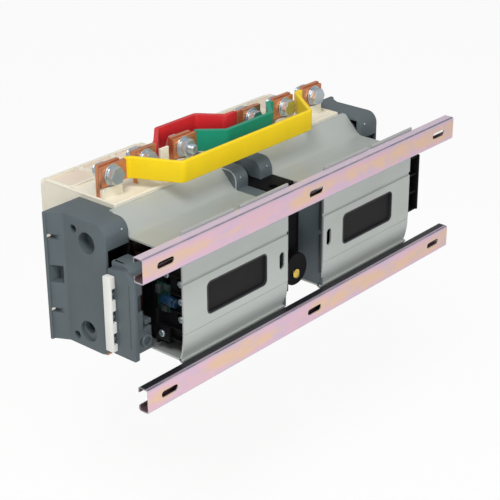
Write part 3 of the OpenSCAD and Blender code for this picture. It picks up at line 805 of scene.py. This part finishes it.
def arc_box_rim(x, level):
    """The raised edge round an arc box's top, with ribs and pockets along its far side."""
    under, over = 80, 110
    outer = rectangle(x - BOX_X, x + BOX_X, BOX_BACK, BOX_FRONT, 2, 4)
    inner = rectangle(x - BOX_X + RIM, x + BOX_X - RIM, BOX_BACK + RIM, POCKET_BACK - 4, 2, 4)
    outline = solid(outer, "Z", BOX_Z - 1, BOX_Z + 2.2, 0.8)
    hollow = bmesh.new()
    prism(hollow, inner, "Z", under, over)
    add_pockets(hollow, x, under, over)
    notches = bmesh.new()
    for rib in (x - POCKET_PITCH / 2, x + POCKET_PITCH / 2):
        prism(notches, rectangle(rib - 4, rib + 4, BOX_FRONT - 12, BOX_FRONT + 2), "Z", BOX_Z + 0.6, over)
    rim = carve(carve(outline, hollow), notches)
    return moved(rim, mirror_z=level < 0)


def arc_box_pockets(x, level):
    """The warmer floors of the pockets."""
    floors = bmesh.new()
    add_pockets(floors, x, BOX_Z - 0.6, BOX_Z + 0.25)
    return moved(floors, mirror_z=level < 0)


def bar_seats(x):
    """The support under each line terminal's bar."""
    return join(*[box((x + p * POLE - SEAT_HALF, 152.4, 91), (x + p * POLE + SEAT_HALF, 164.0, 102.6), 0.8)
                  for p in POLES])


def cover_screw():
    """A domed cover screw with a cross recess, its seat at y 0."""
    screw = bmesh.new()
    lathe(screw, [(AXIS, 1.6), (2.6, 1.5), (3.6, 0.9), (3.9, 0.0), (3.9, -0.6), (AXIS, -0.7)], (0, 0), 24)
    cross = join(box((-2.4, 0.7, -0.45), (2.4, 2, 0.45), 0), box((-0.45, 0.7, -2.4), (0.45, 2, 2.4), 0))
    return carve(screw, cross)


class MakeArcBoxes(bpy.types.Operator):
    """Cream arc boxes with rims, pockets, covers and cover screws"""
    bl_idname = "contactor.arc_boxes"
    bl_label = "Arc boxes"

    def execute(self, context):
        dress("cream", *both("arc_box", "arc_cover"))
        for side, sign in SIDES.items():
            x = sign * UNIT_X
            piece("arc_box_rims_" + side, at_both_levels(arc_box_rim, x), "cream")
            piece("arc_box_pockets_" + side, at_both_levels(arc_box_pockets, x), "pocket")
            piece("bar_seats_" + side, bar_seats(x), "cream")
            places = [(x + u * SCREW_X, BOX_FRONT + 6, v * SCREW_Z, 0) for u in (-1, 1) for v in (-1, 1)]
            piece("cover_screws_" + side, repeated(cover_screw(), places, "zinc"), "zinc")
        return {"FINISHED"}


# Side housings

def housing(inner):
    """One side housing in a unit's own frame, where +X points outward."""
    reach = INNER_REACH if inner else OUTER_REACH
    before = 90
    outline = [(BESIDE_FRAME, before), (reach, before)]
    radii = [0, 0]
    if inner:
        outline += [(reach, HOUSING_FRONT)]
        radii += [3]
    else:
        outline += [(reach, 165), (137, 182), (141, 182), (141, HOUSING_FRONT)]
        radii += [6, 2, 1, 1]
    outline += [(BESIDE_BOX, HOUSING_FRONT), (BESIDE_BOX, BOX_BACK), (BESIDE_FRAME, BOX_BACK)]
    radii += [0, 0, 0]
    body = solid(rounded(outline, radii, 6), "Z", -95, 95)
    past = HOUSING_FRONT + 0.5
    nose = rounded([(HOUSING_BACK, HOUSING_LOW), (HOUSING_BACK, HOUSING_HIGH), (past, HOUSING_HIGH),
                    (past, HOUSING_LOW)], [15, 15, 0, 0], 10)
    body = carve(body, solid(nose, "X", 60, 160), "INTERSECT")
    soften(body, sizes().housing_round * 0.5, 2, 60)
    holes = bmesh.new()
    for y, z, radius in FACE_HOLES:
        prism(holes, circle(y, z, radius, 40), "X", reach - 14, reach + 6)
    body = carve(body, holes)
    pin_hole = bmesh.new()
    prism(pin_hole, circle(*NOSE_PIN, 1.6, 16), "Y", before, 98.2)
    body = carve(body, pin_hole)
    if inner:
        shelf = box((BESIDE_FRAME, 65, 60), (reach, 99, 65), 1.4)
        return join(body, shelf)
    hollow = solid(rectangle(88, 124.5, before, 118, 3, 4), "Z", -70, 60)
    body = carve(body, hollow)
    notch = solid(rectangle(122, 137.4, 168, 182), "Z", 0, 22)
    body = carve(body, notch)
    for z in FLANGE_HOLES_Z:
        body = carve(body, box((130.2, 168, z - 3), (139.6, 190, z + 3), 0))
    flange_edge = box((139.6, 180.8, HOUSING_LOW + 1), (141, 183, HOUSING_HIGH - 1), 0.5)
    body = carve(body, box((88, 104, 66), (112, 127, 84), 0))
    return join(body, flange_edge)


def boss_rings():
    """Collar and slotted boss inside the lower of an outer housing's large holes."""
    y, z = LOWER_HOLE
    ring = solid(circle(y, z, 12.9, 40), "X", 116, 124)
    hole = solid(circle(y + 2, z + 3, 8.0, 32), "X", 110, 127)
    return join(carve(ring, hole), box((112, 121, z - 10), (120, 126, z + 6), 0.5))


def nose_clip():
    """Bent spring clip inside an outer housing's hollow nose."""
    path = [Vector(p) for p in rounded([(125, 79), (113, 78), (107, 70)], [0, 6, 0], 8)]
    return solid(strip(path, 1.4), "X", 92.2, 96.5, 0.3, 1)


def nose_mark():
    """The small bright pin moulded into a housing's nose."""
    pin = bmesh.new()
    lathe(pin, [(AXIS, 97.1), (1.0, 97.3), (1.3, 97.8), (1.3, 99), (AXIS, 99.1)], NOSE_PIN, 16)
    return pin


def edge_highlight_band():
    """A thin light strip along an inner housing's nose and shelf: painted highlight where the housing's end
    edge catches light.
    """
    corners = [(127, 88.4), (97.6, 88.4), (97.6, 60.6), (65, 60.6)]
    path = [Vector(p) for p in rounded(corners, [0, 14, 0, 0], 8)]
    return solid(strip(path, 1.1), "X", 90.9, 92.2, 0.2, 1)


def nose_shade_lining():
    """Near-black sheets under an outer housing's nose, over the frame's side, the arc box's back and the
    nose's roof: painted shade where the nose shadows them.
    """
    side = box((91.0, 97.5, -62), (91.9, 127, 62), 0.2)
    back = box((91.6, 116.6, -69.8), (124.2, 117.9, 59.8), 0.2)
    roof = box((91.4, 97.5, 58.6), (124.2, 117, 59.9), 0.2)
    return join(side, back, roof)


class MakeHousings(bpy.types.Operator):
    """Dark side housings with round shoulders, holes, notches and flanges"""
    bl_idname = "contactor.housings"
    bl_label = "Side housings"

    def execute(self, context):
        for side in SIDES:
            piece("housing_outer_" + side, in_unit(housing(False), side), "grey",
                  replaces=("outer_housing_" + side,))
            piece("housing_inner_" + side, in_unit(housing(True), side, False), "grey",
                  replaces=("inner_housing_" + side,))
            piece("housing_collars_" + side, in_unit(boss_rings(), side), "grey")
            marks = join(in_unit(nose_mark(), side), in_unit(nose_mark(), side, False))
            piece("nose_marks_" + side, marks, "zinc")
            piece("nose_clip_" + side, in_unit(nose_clip(), side), "zinc")
            # Painted highlight along the inner housing's end edge.
            piece("housing_edge_" + side, in_unit(edge_highlight_band(), side, False), "trim")
            # Near-black sheets under the outer housing's nose: painted shade.
            piece("nose_lining_" + side, in_unit(nose_shade_lining(), side), "deep")
        dress("grey", *both("inner_panel"))
        return {"FINISHED"}


# Links

def path_with_bends(points, radius, steps=8):
    """An open path with its inner corners rounded."""
    out = [Vector(points[0])]
    for trio in zip(points, points[1:], points[2:]):
        trio = rounded(trio, [0, radius, 0], steps)
        out.extend(Vector(p) for p in trio[1:-1])
    out.append(Vector(points[-1]))
    return out


def strip(path, thickness):
    """The outline of a bar of that thickness along a path."""
    left, right = [], []
    for i, point in enumerate(path):
        before = (point - path[i - 1]).normalized() if i else (path[1] - point).normalized()
        after = (path[i + 1] - point).normalized() if i + 1 < len(path) else before
        along = (before + after).normalized()
        normal = Vector((-along.y, along.x)) / max(0.5, along.dot(before))
        left.append(tuple(point + normal * thickness / 2))
        right.append(tuple(point - normal * thickness / 2))
    return left + right[::-1]


def trimmed(path, low, high):
    """The part of a path between two places on X."""
    out = []
    for a, b in zip(path, path[1:]):
        ends = [a, b]
        for limit in (low, high):
            if (a.x - limit) * (b.x - limit) < 0:
                ends.append(a.lerp(b, (limit - a.x) / (b.x - a.x)))
        out.extend(p for p in sorted(ends, key=lambda p: (p - a).length) if low - 1e-6 <= p.x <= high + 1e-6)
    clean = []
    for p in out:
        if not clean or (p - clean[-1]).length > 0.05:
            clean.append(p)
    return clean


class MakeLinks(bpy.types.Operator):
    """Copper links on edge in their coloured sleeves, bare at the terminals"""
    bl_idname = "contactor.links"
    bl_label = "Links"

    def execute(self, context):
        for colour, points in PATHS.items():
            path = path_with_bends(points, sizes().link_bend)
            start, stop = points[0][0], points[-1][0]
            first, last = start + SLEEVE_INSET, stop - SLEEVE_INSET
            high = LINK_LOW + LINK_WIDTH
            wrapped = strip(trimmed(path, first, last), BAR + 0.4)
            cover = solid(wrapped, "Z", LINK_LOW - 0.4, high + 0.4, 1.4, 3)
            piece("link_sleeve_" + colour, cover, colour, replaces=("link_" + colour,))
            ends = [solid(strip(trimmed(path, *span), BAR - 0.4), "Z", LINK_LOW + 0.6, high - 0.6, 0.5, 2)
                    for span in ((start, first + 4), (last - 4, stop))]
            piece("link_ends_" + colour, join(*ends), "copper")
        return {"FINISHED"}


# Terminals

def bolt_head():
    """A hexagon head with its chamfer and washer face. The head's underside is at y 0."""
    hexagon = solid(circle(0, 0, HEXAGON, 6), "Y", -8, 0)
    dome = bmesh.new()
    lathe(dome, [(AXIS, -8), (10.5, -8), (11.2, -7.5), (11.2, 0), (AXIS, 0)], (0, 0), 48)
    return carve(hexagon, dome, "INTERSECT")


def washer(radius, low, high):
    """A flat ring with softened edges, between two places on Y."""
    edge = 0.4
    ring = bmesh.new()
    lathe(ring, [(radius - edge, low), (radius, low + edge), (radius, high - edge), (radius - edge, high)],
          (0, 0), 40)
    bore = bmesh.new()
    prism(bore, circle(0, 0, WASHER_HOLE, 32), "Y", low - 1, high + 1)
    return carve(ring, bore)


def threaded(low, high):
    """A bolt's shank with its thread's ridges and a chamfered end."""
    pitch = sizes().thread_pitch
    profile = [(AXIS, low), (5.9, low)]
    y = low
    while y + pitch < high - 1:
        profile += [(5.35, y + pitch * 0.35), (5.95, y + pitch * 0.85), (5.95, y + pitch)]
        y += pitch
    profile += [(5.3, high - 0.8), (4.6, high), (AXIS, high)]
    shank = bmesh.new()
    lathe(shank, profile, (0, 0), 32)
    return shank


def hexagon_nut():
    """A nut with both faces chamfered, from y 0 to 9."""
    blank = solid(circle(0, 0, HEXAGON, 6), "Y", 0, 9)
    dome = bmesh.new()
    lathe(dome, [(AXIS, 0), (10.5, 0), (11.2, 0.5), (11.2, 8.5), (10.5, 9), (AXIS, 9)], (0, 0), 48)
    return carve(blank, dome, "INTERSECT")


def terminals(side):
    """Each line terminal of a side: its x, its stack's back and front, and whether it is turned round."""
    sign = SIDES[side]
    for p in POLES:
        behind = (sign < 0 and p == 0) or (sign > 0 and p == -1)
        back = BAR_BACK - (0 if behind else BAR)
        front = BAR_BACK + (2 * BAR if behind else BAR)
        yield sign * (UNIT_X + p * POLE), back, front, sign < 0 and p == -1


class MakeTerminals(bpy.types.Operator):
    """Terminal bars with their bolts, washers and nuts"""
    bl_idname = "contactor.terminals"
    bl_label = "Terminals"

    def execute(self, context):
        dress("copper", *both("terminal_bars"))
        for side in SIDES:
            heads, nuts = [], []
            for x, back, front, turned in terminals(side):
                if turned:
                    heads.append((x, front, BOLT_Z, 180))
                    nuts.append((x, back, BOLT_Z, 180))
                else:
                    heads.append((x, back, BOLT_Z, 0))
                    nuts.append((x, front, BOLT_Z, 0))
            bolt = join(moved(bolt_head(), y=-WASHERS), washer(WASHER, -WASHER_GAUGE, 0),
                        washer(SPRING_WASHER, -WASHERS, -WASHER_GAUGE), threaded(-2.4, 29))
            piece("bolts_" + side, repeated(bolt, heads, "zinc"), "zinc",
                  replaces=("terminal_bolts_" + side,))
            nut = join(moved(hexagon_nut(), y=WASHERS), washer(WASHER, 0, WASHER_GAUGE),
                       washer(SPRING_WASHER, WASHER_GAUGE, WASHERS))
            piece("nuts_" + side, repeated(nut, nuts, "zinc"), "zinc",
                  replaces=("terminal_nuts_" + side,))
        return {"FINISHED"}


# Auxiliary contacts and the coil's connections

def small_screw():
    """A slotted clamp screw with its axis along X, its seat at x 0."""
    head = bmesh.new()
    lathe(head, [(AXIS, 0), (3.4, 0), (3.4, 1.4), (2.9, 2.0), (AXIS, 2.1)], (0, 0), 24)
    head = carve(head, box((-4, 1.2, -0.45), (4, 3, 0.45), 0))
    head.transform(Matrix.Rotation(math.radians(-90), 4, "Z"))
    return head


def auxiliary_body():
    """The auxiliary block about a unit's middle: a round-topped outer plate, back wall, lower body and top."""
    side = rounded([(54, -64), (94, -64), (94, 42), (66, 46), (54, 36)], [1.5, 1.5, 2, 7, 4], 6)
    plate = solid(side, "X", 123, 130, 1.0)
    grooves = bmesh.new()
    for y in (60, 80):
        prism(grooves, rectangle(y, y + 1, -50, 30), "X", 129.5, 131)
    plate = carve(plate, grooves)
    back = box((BESIDE_FRAME, 82, -64), (124, 94, 42), 0.8)
    lower = box((97, 60, -60), (124, 93, -30), 1.6)
    boss = bmesh.new()
    lathe(boss, [(AXIS, 56), (7.2, 56), (8.2, 57), (8.2, 61), (AXIS, 61)], (108, -45), 32)
    recess = solid(circle(108, -45, 5, 24), "Y", 54, 59)
    boss = carve(boss, recess)
    hood = rounded([(62, 34), (93, 34), (93, 50), (72, 50), (62, 44)], [1, 1, 2, 5, 4], 6)
    top = solid(hood, "X", 99, 124, 1.2)
    steps = join(box((96, 62, -28), (106, 82, -22), 0.6), box((112, 58, -30), (124, 64, -6), 0.8),
                 box((112, 58, 14), (124, 66, 36), 0.8), box((100, 70, 24), (118, 84, 30), 0.6))
    return join(plate, back, lower, boss, top, steps)


def clamp_strip():
    """The white strip with its three open clamps."""
    bar = box((130, 82, -58), (138, 94, 36), 0.9)
    cuts = bmesh.new()
    for z in CLAMPS_Z:
        prism(cuts, rectangle(129, 135.6, z - 7.5, z + 7.5), "Y", 78, 91)
    return carve(bar, cuts)


def clamp_metal():
    """Bent clamp plates and their screws, one at each clamp of a strip."""
    plate = join(box((130.3, 86, -5.2), (135.2, 87.4, 5.2), 0.4),
                 box((130.3, 87.4, -5.2), (131.6, 90.6, 5.2), 0.4))
    screw = bmesh.new()
    lathe(screw, [(AXIS, 83.6), (2.0, 83.9), (2.4, 84.5), (2.4, 86), (AXIS, 86.1)], (132.8, 0), 24)
    screw = carve(screw, box((130, 82, -0.45), (139, 84.4, 0.45), 0))
    return repeated(join(plate, screw), [(0, 0, z, 0) for z in CLAMPS_Z], "zinc")


def clamp_shade_backs():
    """Near-black walls behind the clamps: painted shade that makes the clamp openings dark."""
    return join(*[box((130.2, 90.4, z - 7.4), (135.5, 91.3, z + 7.4), 0.1) for z in CLAMPS_Z])


def auxiliary_clip():
    """The white clip on top of an auxiliary block."""
    return join(box((119, 78, 49), (122, 92, 50), 0.4), box((119, 76.4, 44), (122, 78.4, 50), 0.4))


class MakeAuxiliaries(bpy.types.Operator):
    """Auxiliary blocks, their terminal strips and clamps"""
    bl_idname = "contactor.auxiliaries"
    bl_label = "Auxiliary contacts"

    def execute(self, context):
        for side in SIDES:
            piece("auxiliary_case_" + side, in_unit(auxiliary_body(), side), "grey",
                  replaces=("auxiliary_block_" + side,))
            piece("clamp_strip_" + side, in_unit(clamp_strip(), side), "white",
                  replaces=("auxiliary_strip_" + side,))
            piece("clamps_" + side, in_unit(clamp_metal(), side), "zinc")
            # Near-black walls in the clamp openings: painted shade.
            piece("clamp_backs_" + side, in_unit(clamp_shade_backs(), side), "deep")
            piece("auxiliary_clip_" + side, in_unit(auxiliary_clip(), side), "white")
        return {"FINISHED"}


def coil_block():
    """The black moulding in a frame's open end: pockets, ribs, a lower block, and behind them a near-black
    wall that is painted shade.
    """
    block = box((65.3, 17.5, -50), (83, 72, 44), 1)
    pockets = bmesh.new()
    for y, z in ((26, 26), (26, 4), (26, -18), (48, 26), (48, -40)):
        prism(pockets, rectangle(y - 6, y + 6, z - 7, z + 7, 1.2, 3), "X", 76, 90)
    block = carve(block, pockets)
    ribs = join(*[box((83, 20, z - 1), (87.5, 40, z + 1), 0.3) for z in (-44, -30, -8, 14, 36)])
    lower = join(box((83, 40, -50), (90, 60, -30), 1.2), box((80, 58, -56), (90, 61, -12), 0.8))
    # A near-black sheet across the frame's open end: painted shade.
    wall = box((74, 56, -62), (75.6, 94, 62), 0.3)
    return join(block, ribs, lower, wall)


def capacitor():
    """A round capacitor with the crimp near its end."""
    can = bmesh.new()
    profile = [(AXIS, 30), (5.2, 30), (6, 30.8), (6, 33), (5.5, 34), (6, 35), (6, 50), (5.4, 51), (AXIS, 51)]
    lathe(can, profile, (86, 2), 28)
    return can


def board_parts():
    """The dark parts that stand on a circuit board."""
    return join(box((84.6, 45, -13), (88, 53, -5), 0.4), box((84.6, 54, 8), (89.5, 60, 18), 0.4),
                box((84.6, 44, 14), (87, 50, 20), 0.3))


def ribbed_cover():
    """The open ribbed moulding over the right unit's coil terminals."""
    inside, outside, base, edge = BESIDE_FRAME, 112, 18, 43.8
    low, high = -25.8, 51.8
    ribs = [box((inside, base, z), (outside, edge, z + 3), 0.4) for z in (low, -0.5, 24.5, 48.8)]
    blocks = [box((96, 24, z), (107, 40, z + 9), 0.8) for z in (-18, 8, 33)]
    shell = [box((111.2, 16.2, low), (114.8, edge, high), 0.8),
             box((inside, 40, low), (outside, edge, high), 0.4)]
    return join(*ribs, *blocks, *shell)


class MakeCoilParts(bpy.types.Operator):
    """Circuit boards, coil blocks, capacitors and their screws in the frames' open ends"""
    bl_idname = "contactor.coil_parts"
    bl_label = "Coil connections"

    def execute(self, context):
        places = [(82.5, 26, 26, 0), (82.5, 26, 4, 0), (82.5, 26, -18, 0), (82.5, 48, 32, 0),
                  (90, 50, -40, 0)]
        for side in SIDES:
            piece("coil_block_" + side, in_unit(coil_block(), side), "deep")
            board = box((83, 42, -14), (84.6, 61.5, 20), 0.2)
            piece("board_" + side, in_unit(board, side), "board", replaces=("coil_board_" + side,))
            piece("capacitor_" + side, in_unit(capacitor(), side), "blue")
            piece("board_parts_" + side, in_unit(board_parts(), side), "black")
            screws = repeated(small_screw(), places, "zinc", 1.25)
            piece("connection_screws_" + side, in_unit(screws, side), "zinc",
                  replaces=("coil_screws_" + side,))
        piece("ribbed_cover", in_unit(ribbed_cover(), "right"), "deep",
              replaces=("coil_cover",))
        return {"FINISHED"}


# The interlock

def drum_face():
    """The rimmed face of the drum between the units, with a hole for the brass stop."""
    x, z = DRUM
    drum = bmesh.new()
    profile = [(AXIS, 23.4), (17.5, 23.4), (18.5, 22.9), (20.2, 22.9), (20.6, 23.4), (20.6, 25),
               (AXIS, 25.1)]
    lathe(drum, profile, DRUM, 48)
    return carve(drum, solid(circle(x, z - 5, 5.4, 32), "Y", 20, 28))


def gap_cover():
    """The black cap between the units, above the rails, with a round well in its top."""
    cover = box((-11, 63, 52), (34.2, 118, 65.6), 0.6)
    well = bmesh.new()
    prism(well, circle(4.6, 70.6, 5.6, 28), "Z", 55, 70)
    return carve(cover, well)


def panel_edges():
    """Thin black strips along the edges of the two inner panels."""
    left = [box((-34.3, 16.2, low), (-31.6, 19.5, high), 0.4) for low, high in ((8, 46), (-46, -8))]
    left += [box((-34.6, 19.5, low), (-32.6, 24, high), 0.4) for low, high in ((38, 52), (-52, -40))]
    right = [box((32.6, 17.6, low), (34.3, 21, high), 0.4) for low, high in ((12, 50), (-46, 6))]
    return join(*left, *right)


class MakeInterlock(bpy.types.Operator):
    """The interlock between the two units"""
    bl_idname = "contactor.interlock"
    bl_label = "Interlock"

    def execute(self, context):
        dress("deep", "interlock_housing")
        piece("drum_face", drum_face(), "deep")
        tab = [(-15.5, -29), (-8, -30), (-3.5, -33.5), (-4, -38), (-9, -39), (-14.5, -35.5)]
        piece("stop_tab", solid(tab, "Y", 21.6, 22.8, 0.3), "brass")
        piece("gap_cover", gap_cover(), "deep")
        # Dark blocks round the drum in the gap between the units: painted shade where the gap is dark.
        gap_shade_blocks = join(box((-33.8, 40, -6), (12, 54, 50), 1.5), box((-33.8, 30, -48), (-20, 54, -4), 1.5))
        piece("gap_bracket", gap_shade_blocks, "deep")
        piece("panel_edges", panel_edges(), "black")
        dress("steel", "interlock_pins", "interlock_lever_left", "interlock_lever_right")
        dress("brass", "interlock_stop")
        return {"FINISHED"}


# Stage

def floor_finish():
    """Pale floor that keeps the shadow and shows as nearly white."""
    material = bpy.data.materials.new("pale_floor")
    material.use_nodes = True
    tree = material.node_tree
    shader = next(n for n in tree.nodes if n.type == "BSDF_PRINCIPLED")
    shader.inputs["Base Color"].default_value = (0.93, 0.93, 0.93, 1)
    shader.inputs["Roughness"].default_value = 0.9
    glow = tree.nodes.new("ShaderNodeEmission")
    rays = tree.nodes.new("ShaderNodeLightPath")
    share = tree.nodes.new("ShaderNodeMath")
    share.operation = "MULTIPLY"
    share.inputs[1].default_value = 0.9
    blend = tree.nodes.new("ShaderNodeMixShader")
    out = next(n for n in tree.nodes if n.type == "OUTPUT_MATERIAL")
    tree.links.new(rays.outputs["Is Camera Ray"], share.inputs[0])
    tree.links.new(share.outputs["Value"], blend.inputs["Fac"])
    tree.links.new(shader.outputs["BSDF"], blend.inputs[1])
    tree.links.new(glow.outputs["Emission"], blend.inputs[2])
    tree.links.new(blend.outputs["Shader"], out.inputs["Surface"])
    return material


def lamp(name, place, target, size, power):
    """A round lamp, aimed at its target, with its size in metres and its power in watts."""
    data = bpy.data.lights.new(name, "AREA")
    data.shape = "DISK"
    data.size = size
    data.energy = power
    obj = bpy.data.objects.new(name, data)
    obj.location = place
    obj.rotation_mode = "QUATERNION"
    obj.rotation_quaternion = (Vector(target) - Vector(place)).to_track_quat("-Z", "Y")
    bpy.context.scene.collection.objects.link(obj)


class MakeStage(bpy.types.Operator):
    """Pale floor, soft light and the camera"""
    bl_idname = "contactor.stage"
    bl_label = "Stage"

    def execute(self, context):
        scene = context.scene
        scene.view_settings.view_transform = "Standard"
        floor = loose(solid(rectangle(-9, 9, -9, 9), "Z", -0.36, -0.33), "floor")
        floor.data.materials.append(floor_finish())
        world = bpy.data.worlds.new("studio")
        scene.world = world
        world.use_nodes = True
        tree = world.node_tree
        back = next(n for n in tree.nodes if n.type == "BACKGROUND")
        back.inputs["Color"].default_value = (1, 1, 1, 1)
        rays = tree.nodes.new("ShaderNodeLightPath")
        seen = tree.nodes.new("ShaderNodeMath")
        seen.operation = "MAXIMUM"
        level = tree.nodes.new("ShaderNodeMapRange")
        level.inputs["To Min"].default_value = 0.5
        level.inputs["To Max"].default_value = 1.0
        tree.links.new(rays.outputs["Is Camera Ray"], seen.inputs[0])
        tree.links.new(rays.outputs["Is Transmission Ray"], seen.inputs[1])
        tree.links.new(seen.outputs["Value"], level.inputs["Value"])
        tree.links.new(level.outputs["Result"], back.inputs["Strength"])
        lamp("key", (-1.1, -0.5, 1.9), (0, 0.1, 0), 0.9, 26)
        lamp("front", (-0.7, -2.0, 0.9), (0, 0.1, 0), 1.0, 14)
        data = bpy.data.cameras.new("photo_camera")
        data.lens = 101.4
        data.sensor_width = 36
        data.clip_start = 0.05
        camera = bpy.data.objects.new("photo_camera", data)
        camera.location = (-1.2178, -0.9528, 0.7173)
        camera.rotation_mode = "QUATERNION"
        aim = Vector((0.6852, 0.5952, -0.4198)).to_track_quat("-Z", "Y")
        camera.rotation_quaternion = aim @ Matrix.Rotation(-0.0051, 4, "Z").to_quaternion()
        scene.collection.objects.link(camera)
        scene.camera = camera
        return {"FINISHED"}


class ContactorPanel(bpy.types.Panel):
    """Lists the pieces of the contactor"""
    bl_idname = "VIEW3D_PT_contactor"
    bl_label = "Reversing contactor"
    bl_space_type = "VIEW_3D"
    bl_region_type = "UI"
    bl_category = "Contactor"

    def draw(self, context):
        for made in MAKERS:
            self.layout.operator(made.bl_idname)
        for group in (context.scene.contactor_sizes, context.scene.contactor_colours):
            for name in group.bl_rna.properties.keys():
                if name not in {"rna_type", "name"}:
                    self.layout.prop(group, name)


MAKERS = (MakeStage, MakeRails, MakeFrames, MakeMagnets, MakeArcBoxes, MakeHousings, MakeLinks, MakeTerminals,
          MakeAuxiliaries, MakeCoilParts, MakeInterlock)
CLASSES = (ContactorSizes, ContactorColours, *MAKERS, ContactorPanel)


def register():
    for item in CLASSES:
        bpy.utils.register_class(item)
    bpy.types.Scene.contactor_sizes = bpy.props.PointerProperty(type=ContactorSizes)
    bpy.types.Scene.contactor_colours = bpy.props.PointerProperty(type=ContactorColours)


def unregister():
    del bpy.types.Scene.contactor_colours
    del bpy.types.Scene.contactor_sizes
    for item in reversed(CLASSES):
        bpy.utils.unregister_class(item)


def main():
    """Dresses the frame's solids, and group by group."""
    register()
    make_finishes()
    bpy.ops.contactor.stage()
    bpy.ops.contactor.rails()
    bpy.ops.contactor.frames()
    bpy.ops.contactor.magnets()
    bpy.ops.contactor.arc_boxes()
    bpy.ops.contactor.housings()
    bpy.ops.contactor.links()
    bpy.ops.contactor.terminals()
    bpy.ops.contactor.auxiliaries()
    bpy.ops.contactor.coil_parts()
    bpy.ops.contactor.interlock()


if __name__ == "__main__":
    main()
